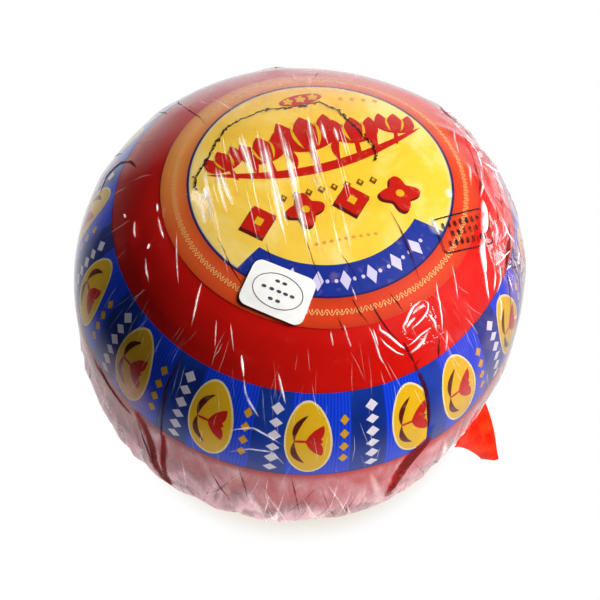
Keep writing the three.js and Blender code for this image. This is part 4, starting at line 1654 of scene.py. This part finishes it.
# %% Dark fold edges: painted shade
SHADED_FOLD_EDGES = [
    ([(-142, 26.5), (-131.5, 28), (-123, 30.5), (-112, 34)], 0.5, 0.8),
    ([(-85.5, 14), (-82, 20), (-80, 26), (-78, 33)], 0.5, 0.8),
    ([(-112.5, 21), (-104, 26)], 0.45, 0.6),
    ([(-63.5, 24), (-61.5, 30), (-62, 36)], 0.45, 0.7),
    ([(-18.5, 25.5), (-26.5, 30), (-32, 33.5), (-36.5, 37.5), (-41, 42)], 0.8, 0.9),
    ([(-67.5, 35.5), (-66.5, 40), (-65, 43)], 0.7, 0.9),
    ([(-61.5, 38), (-61, 42.5), (-60, 46.5), (-58, 50)], 0.8, 0.9),
    ([(-53, 38.5), (-53, 44)], 0.6, 0.8),
    ([(-75, 39), (-74, 43)], 0.5, 0.6),
    ([(-47, 53.5), (-49.5, 58.5)], 1.1, 0.8),
    ([(-57.5, 49.5), (-57, 52.5), (-56.5, 56)], 1.2, 0.9),
    ([(-54, 55), (-57, 56), (-56, 60), (-56, 64), (-56.5, 68), (-57, 73), (-58, 79)], 1.7, 1.0),
    ([(-123.5, 54), (-125, 62), (-124.5, 71), (-124.5, 86)], 1.0, 0.9),
    ([(-133, 79), (-130, 92), (-124, 106)], 1.2, 0.9),
    ([(-104, 80), (-102, 93.5)], 0.6, 0.6),
    ([(-91.5, 81), (-89.5, 100.5)], 0.6, 0.7),
    ([(-150, 75.5), (-143.5, 79), (-137, 81.5)], 1.6, 0.9),
    ([(-112, 84), (-106, 99)], 0.7, 0.7),
    ([(172, 58), (164.5, 57), (160.5, 53), (161.5, 48.5), (165.5, 45)], 1.5, 1.0),
    ([(130, 54), (132.5, 50), (135, 42), (136, 37), (139, 32.5)], 0.6, 0.8),
    ([(97, 50), (96, 54), (93, 58)], 0.7, 0.7),
    ([(-2, 56), (-16, 62), (-22, 72)], 0.9, 0.7),
]
skirt_shaded_edges = scattered(draw, 60, (-180, 180), (81, 100), 0, 26, (10, 30), (0.3, 0.8), (0.2, 0.6))
shoulder_shaded_edges = scattered(draw, 26, (-18, 60), (54, 76), 10, 60, (3, 9), (0.4, 1.0), (0.4, 0.8))
back_shaded_edges = scattered(draw, 10, (70, 190), (40, 80), 0, 20, (6, 14), (0.3, 0.7), (0.3, 0.6))
film_ribbons("film_fold_edge_shade", doubled, SHADED_FOLD_EDGES)
film_ribbons("film_small_edge_shade", doubled, skirt_shaded_edges + shoulder_shaded_edges + back_shaded_edges, steps=12)

# %% [markdown]
# The approval sticker is white paper with a thin mineral coating, which gives it a satin face. Flat white
# would look like plastic, so soft noise moves the white by a shade.

# %% Coated paper
PAPER_CLOUD = 4 * MM

paper, tree = new_material("label paper, coated white")
place = node(tree, "TexCoord").outputs["Object"]
mottle = node(tree, "TexNoise", {"Vector": place, "Scale": 1 / PAPER_CLOUD, "Detail": 3})
mottle = node(tree, "MapRange", [mottle, 0.3, 0.7])
colour = node(tree, "Mix", {0: mottle, 6: "#f4f1ec", 7: "#fdfcf9"}, data_type="RGBA")
body = node(tree, "BsdfPrincipled", {"Base Color": colour, "Roughness": 0.55, "IOR": 1.45})
node(tree, "OutputMaterial", {"Surface": body})

# %% [markdown]
# The sticker is a small rounded rectangle. A flat box would stand off the ball at its ends, so it is one
# outline, cut into cells like the ink and bent with the ball. It is laid a little over the film, because
# the real one bridges the film's fine lines.

# %% The sticker
STICKER_WIDTH = 19.5
STICKER_HEIGHT = 13.8
STICKER_CORNER = 2.6
STICKER_THICKNESS = 0.3
STICKER_GAP = 0.3
STICKER_PLACE = (-98.5, 32.4)
STICKER_TURN = -15
STICKER_CELL = 1.2

sticker_axis = Vector(towards(*STICKER_PLACE))


def patch_place(axis, turn, lift):
    """Lays flat millimetres on the ball round an axis, turned from straight up the ball."""
    up_ball = Vector(UP - axis * axis.z).normalized()
    right = up_ball.cross(axis)
    spin = math.radians(turn)
    x_axis = np.array(right * math.cos(spin) + up_ball * math.sin(spin))
    y_axis = np.array(up_ball * math.cos(spin) - right * math.sin(spin))
    reach = float(ball_radius(np.array(axis)))

    def place_of(flat):
        direction = np.array(axis) + (flat[:, :1] * x_axis + flat[:, 1:2] * y_axis) / reach
        direction /= np.linalg.norm(direction, axis=1)[:, None]
        return on_ball(direction, flat[:, 2] + lift)

    return place_of


def rounded_rectangle(width, height, corner, count=7):
    """A rectangle's outline with round corners."""
    points = []
    for quarter in range(4):
        across = (width / 2 - corner) * (1 if quarter in (0, 3) else -1)
        up = (height / 2 - corner) * (1 if quarter in (0, 1) else -1)
        for step in range(count + 1):
            angle = math.radians(90 * (quarter + step / count))
            points.append(Vector((across + corner * math.cos(angle), up + corner * math.sin(angle))))
    return points


sheet = InkSheet()
sheet.add(rounded_rectangle(STICKER_WIDTH, STICKER_HEIGHT, STICKER_CORNER), "#ffffff")
sheet.cut(STICKER_CELL)
thicken(sheet.bm, STICKER_THICKNESS)
lift = STICKER_GAP + STICKER_THICKNESS
sticker_place = patch_place(sticker_axis, STICKER_TURN, lift)
to_piece(sheet.bm, "approval_sticker", paper, sticker_place, "approval_sticker")

# %% [markdown]
# Such a sticker carries an oval mark. Here it is a thin oval line round three rows of plain dots. The line
# is a ring of short quads between two ovals, which stays even where a pen stroke would pinch.

# %% The sticker's marks
GREY_INK = "#4a4a52"
OVAL_HALVES = (7.6, 4.9)
OVAL_LINE = 0.25
MARKS_LIFT = 0.02
DOT_ROWS = [(2.6, (-1.1, 1.1)), (0, (-4.2, -1.8, 0.4, 2.4, 4.4)), (-2.6, (-1.1, 1.1))]


def outline_ring(sheet, outer, inner, ink, level=0):
    """Adds a line between two outlines that have equally many points."""
    for step in range(len(outer)):
        after = (step + 1) % len(outer)
        sheet.add([outer[step], outer[after], inner[after], inner[step]], ink, level)


marks = InkSheet()
oval = closed_curve((0, 0), *OVAL_HALVES, count=48)
inner = closed_curve((0, 0), *[half - OVAL_LINE for half in OVAL_HALVES], count=48)
outline_ring(marks, oval, inner, GREY_INK, 1)
for row, dots in DOT_ROWS:
    for dot in dots:
        marks.add(closed_curve((dot, row), 0.75, 0.45, count=12), GREY_INK, 1)
marks_place = patch_place(sticker_axis, STICKER_TURN, lift + MARKS_LIFT)
marks.finish("sticker_marks", ink, marks_place)

# %% [markdown]
# Stamping ink doesn't take everywhere on plastic, so this black is broken by worn spots that show what
# lies below. Holes could be cut in the mesh, but a see-through share driven by noise does it without.

# %% Stamping ink
BLACK_INK = "#241a1c"
WORN_SPOT = 2 * MM

stamp_ink, tree = new_material("stamping ink, black, dried")
place = node(tree, "TexCoord").outputs["Object"]
taken = node(tree, "TexNoise", {"Vector": place, "Scale": 1 / WORN_SPOT, "Detail": 4})
taken = node(tree, "MapRange", [taken, 0.35, 0.6, 0.25, 0.95])
dark = node(tree, "BsdfPrincipled", {"Base Color": BLACK_INK, "Roughness": 0.5})
clear = node(tree, "BsdfTransparent")
node(tree, "OutputMaterial", {"Surface": node(tree, "MixShader", [taken, clear, dark])})

# %% [markdown]
# A box with rows of short bars is stamped in black on the film over the label's right edge. It is a sheet
# of ink like the others, but it is laid on the film's own folds and not on the taut ball, so a second
# function lifts its places onto them.

# %% Stamped box
STAMP_PLACE = (-12.6, 45.2)
STAMP_TURN = -50
STAMP_WIDTH = 20
STAMP_HEIGHT = 11.5
STAMP_LINE = 0.45
STAMP_LIFT = 0.1
BAR_ROWS = [(2.9, 7), (0, 5), (-2.9, 7)]
BAR_SPACING = 2.3
OUTER_CORNER = 1.4
INNER_CORNER = 1.0

stamp = InkSheet()
box_outer = rounded_rectangle(STAMP_WIDTH, STAMP_HEIGHT, OUTER_CORNER)
box_inner = rounded_rectangle(STAMP_WIDTH - 2 * STAMP_LINE, STAMP_HEIGHT - 2 * STAMP_LINE, INNER_CORNER)
outline_ring(stamp, box_outer, box_inner, BLACK_INK)
for height, bars in BAR_ROWS:
    for bar in range(bars):
        middle = (bar - (bars - 1) / 2) * BAR_SPACING
        stamp.add(leaf((middle, height - 1), (middle + 0.2, height + 1), 0.8, fullness=0.3), BLACK_INK)


def on_film(place_of, lift):
    """Lifts places laid on the taut ball onto the film's own folds."""

    def lifted(flat):
        points = place_of(flat) - CENTRE
        reach = np.linalg.norm(points, axis=1)[:, None]
        direction = points / reach
        return direction * (reach + film_height(direction)[:, None] + lift) + CENTRE

    return lifted


stamp_axis = Vector(towards(*STAMP_PLACE))
stamp_place = on_film(patch_place(stamp_axis, STAMP_TURN, 0), STAMP_LIFT)
stamp.finish("film_stamp", stamp_ink, stamp_place)

# %% [markdown]
# Where the hot film shrank round the raised print, a broken black line of scorched specks runs round the
# label's motifs. It is a thin wandering pen line with seeded three-lobed specks along it.

# %% Scorched specks
SCORCH_INK = "#3a1208"
SCORCH_PATH = [(-33, 5), (-32, 10), (-27, 15), (-23, 20), (-19, 24), (-14, 26), (-7, 27)]
SCORCH_PATH += [(0, 26), (8, 25.4), (12, 21), (15, 13), (17, 6), (17, 3), (16, 0)]
SPECK_STEP = 0.75
SPECK_DEPTH = 0.08
SCORCH_WIDTH = 0.4
SCORCH_STEPS = 6
draw = random.Random(11)


def jitter(wide, high):
    """A small seeded step aside."""
    return Vector((draw.uniform(-wide, wide), draw.uniform(-high, high)))


specks = InkSheet()
wander = [Vector(place) + jitter(0.4, 0.4) for place in SCORCH_PATH]
line = []
for start, end in zip(wander, wander[1:]):
    line += [start.lerp(end, step / SCORCH_STEPS) for step in range(SCORCH_STEPS)]
line = [spot + jitter(0.25, 0.25) for spot in line]
specks.stroke(line, SCORCH_WIDTH, SCORCH_INK)
for start, end in zip(SCORCH_PATH, SCORCH_PATH[1:]):
    start, end = Vector(start), Vector(end)
    for step in range(int((end - start).length / SPECK_STEP)):
        spot = start.lerp(end, step * SPECK_STEP / (end - start).length)
        spot += jitter(0.5, 0.6)
        size = draw.uniform(0.15, 0.75) if draw.random() < 0.8 else 0
        if size:
            heading = math.degrees(math.atan2(end.y - start.y, end.x - start.x)) + draw.uniform(-50, 50)
            specks.add(closed_curve(spot, size, size * 0.45, heading, 3, 0.3, 10), SCORCH_INK)


def specks_place(flat):
    """Places just under the film."""
    return on_ball(round_flat(flat, LABEL_AXIS, LABEL_TURN), flat[:, 2] - SPECK_DEPTH)


specks.finish("scorched_specks", stamp_ink, specks_place)

# %% [markdown]
# The end of the film's seam is dyed red. Such film is glossy, and its red is deeper where its layers bunch.
# Every small bunch could be modelled, but over the tail's own creases noise is enough, and one noise can
# drive the colour and a bump together. The lighter orange lies where the bump is raised, and is partly a
# painted highlight.

# %% Dyed film
TAIL_FOLD = 6 * MM
TAIL_FOLD_DEPTH = 1 * MM

red_film, tree = new_material("polyolefin film, dyed red, gathered")
place = node(tree, "TexCoord").outputs["Object"]
folds = node(tree, "TexNoise", {"Vector": place, "Scale": 1 / TAIL_FOLD, "Detail": 3})
shade = node(tree, "MapRange", [folds, 0.35, 0.65])
# Partly a painted highlight: the lighter orange goes where the fold noise is raised.
colour = node(tree, "Mix", {0: shade, 6: "#ee1204", 7: "#fb3c14"}, data_type="RGBA")
bump = node(tree, "Bump", {"Height": folds, "Strength": 0.5, "Distance": TAIL_FOLD_DEPTH})
skin = {"Base Color": colour, "Roughness": 0.35, "IOR": 1.5, "Specular IOR Level": CLUNG_GLOSS}
body = node(tree, "BsdfPrincipled", {**skin, "Normal": bump})
node(tree, "OutputMaterial", {"Surface": body})

# %% [markdown]
# The seam ends in a pinched tail at the lower right: a flat strip, wide at the root and narrow at the
# tip, creased down its middle. Cloth could be gathered into such a shape, but a grid bent along the line
# from root to tip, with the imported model's own sizes, stays as long and as wide as the solid. Fine
# gathers are added at the root.

# %% The red tail
TAIL_ROOT = (-33.3, 109.6)
TAIL_ROOT_GAP = 0.7
TAIL_TIP = (-31.6, 80, 12)
TAIL_ROOT_WIDTH = 21
TAIL_TIP_WIDTH = 6
TAIL_TAPER = 1.4
TAIL_ROOT_ACROSS = 56.7
TAIL_TIP_ACROSS = 0
TAIL_THICKNESS = 0.5
TAIL_CREASE = 1.8
TAIL_GATHER = 0.35

bm = bmesh.new()
bmesh.ops.create_grid(bm, x_segments=28, y_segments=36, size=0.5)
thicken(bm, TAIL_THICKNESS)
root_direction = towards(*TAIL_ROOT)[None, :]
root = on_ball(root_direction, film_height(root_direction) + TAIL_ROOT_GAP)[0]
tip = towards(TAIL_TIP[0], 90) * TAIL_TIP[1]
tip[2] = TAIL_TIP[2]
outward = -np.cross(towards(TAIL_ROOT_ACROSS, 90), tip - root)
outward /= np.linalg.norm(outward)


def tail_place(flat):
    """Places on the tail, which narrows and twists from its root to its tip."""
    along = 0.5 - flat[:, 1]
    width = TAIL_TIP_WIDTH + (TAIL_ROOT_WIDTH - TAIL_TIP_WIDTH) * (1 - along) ** TAIL_TAPER
    crease = TAIL_CREASE * (1 - 2 * np.abs(flat[:, 0])) * (0.4 + 0.6 * along)
    gather = TAIL_GATHER * np.sin(flat[:, 0] * 23 + 3 * along) * (1 - along)
    lift = flat[:, 2] + crease + gather
    line = root + (tip - root) * along[:, None]
    across = towards(TAIL_ROOT_ACROSS + (TAIL_TIP_ACROSS - TAIL_ROOT_ACROSS) * along, 90)
    return line + across * (flat[:, 0] * width)[:, None] + outward * lift[:, None]


to_piece(bm, "red_tail", red_film, tail_place, "film_tail")

# %% [markdown]
# The looks must not change the size. The boxes of the imported model and of the dressed one are printed
# side by side.

# %% Print the sizes
new_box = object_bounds()
sizes = {"cad": [list(corner) for corner in cad_box], "visual": [list(corner) for corner in new_box]}
for name, box in sizes.items():
    print(name, [round((high - low) / MM, 2) for low, high in zip(*box)], "mm")
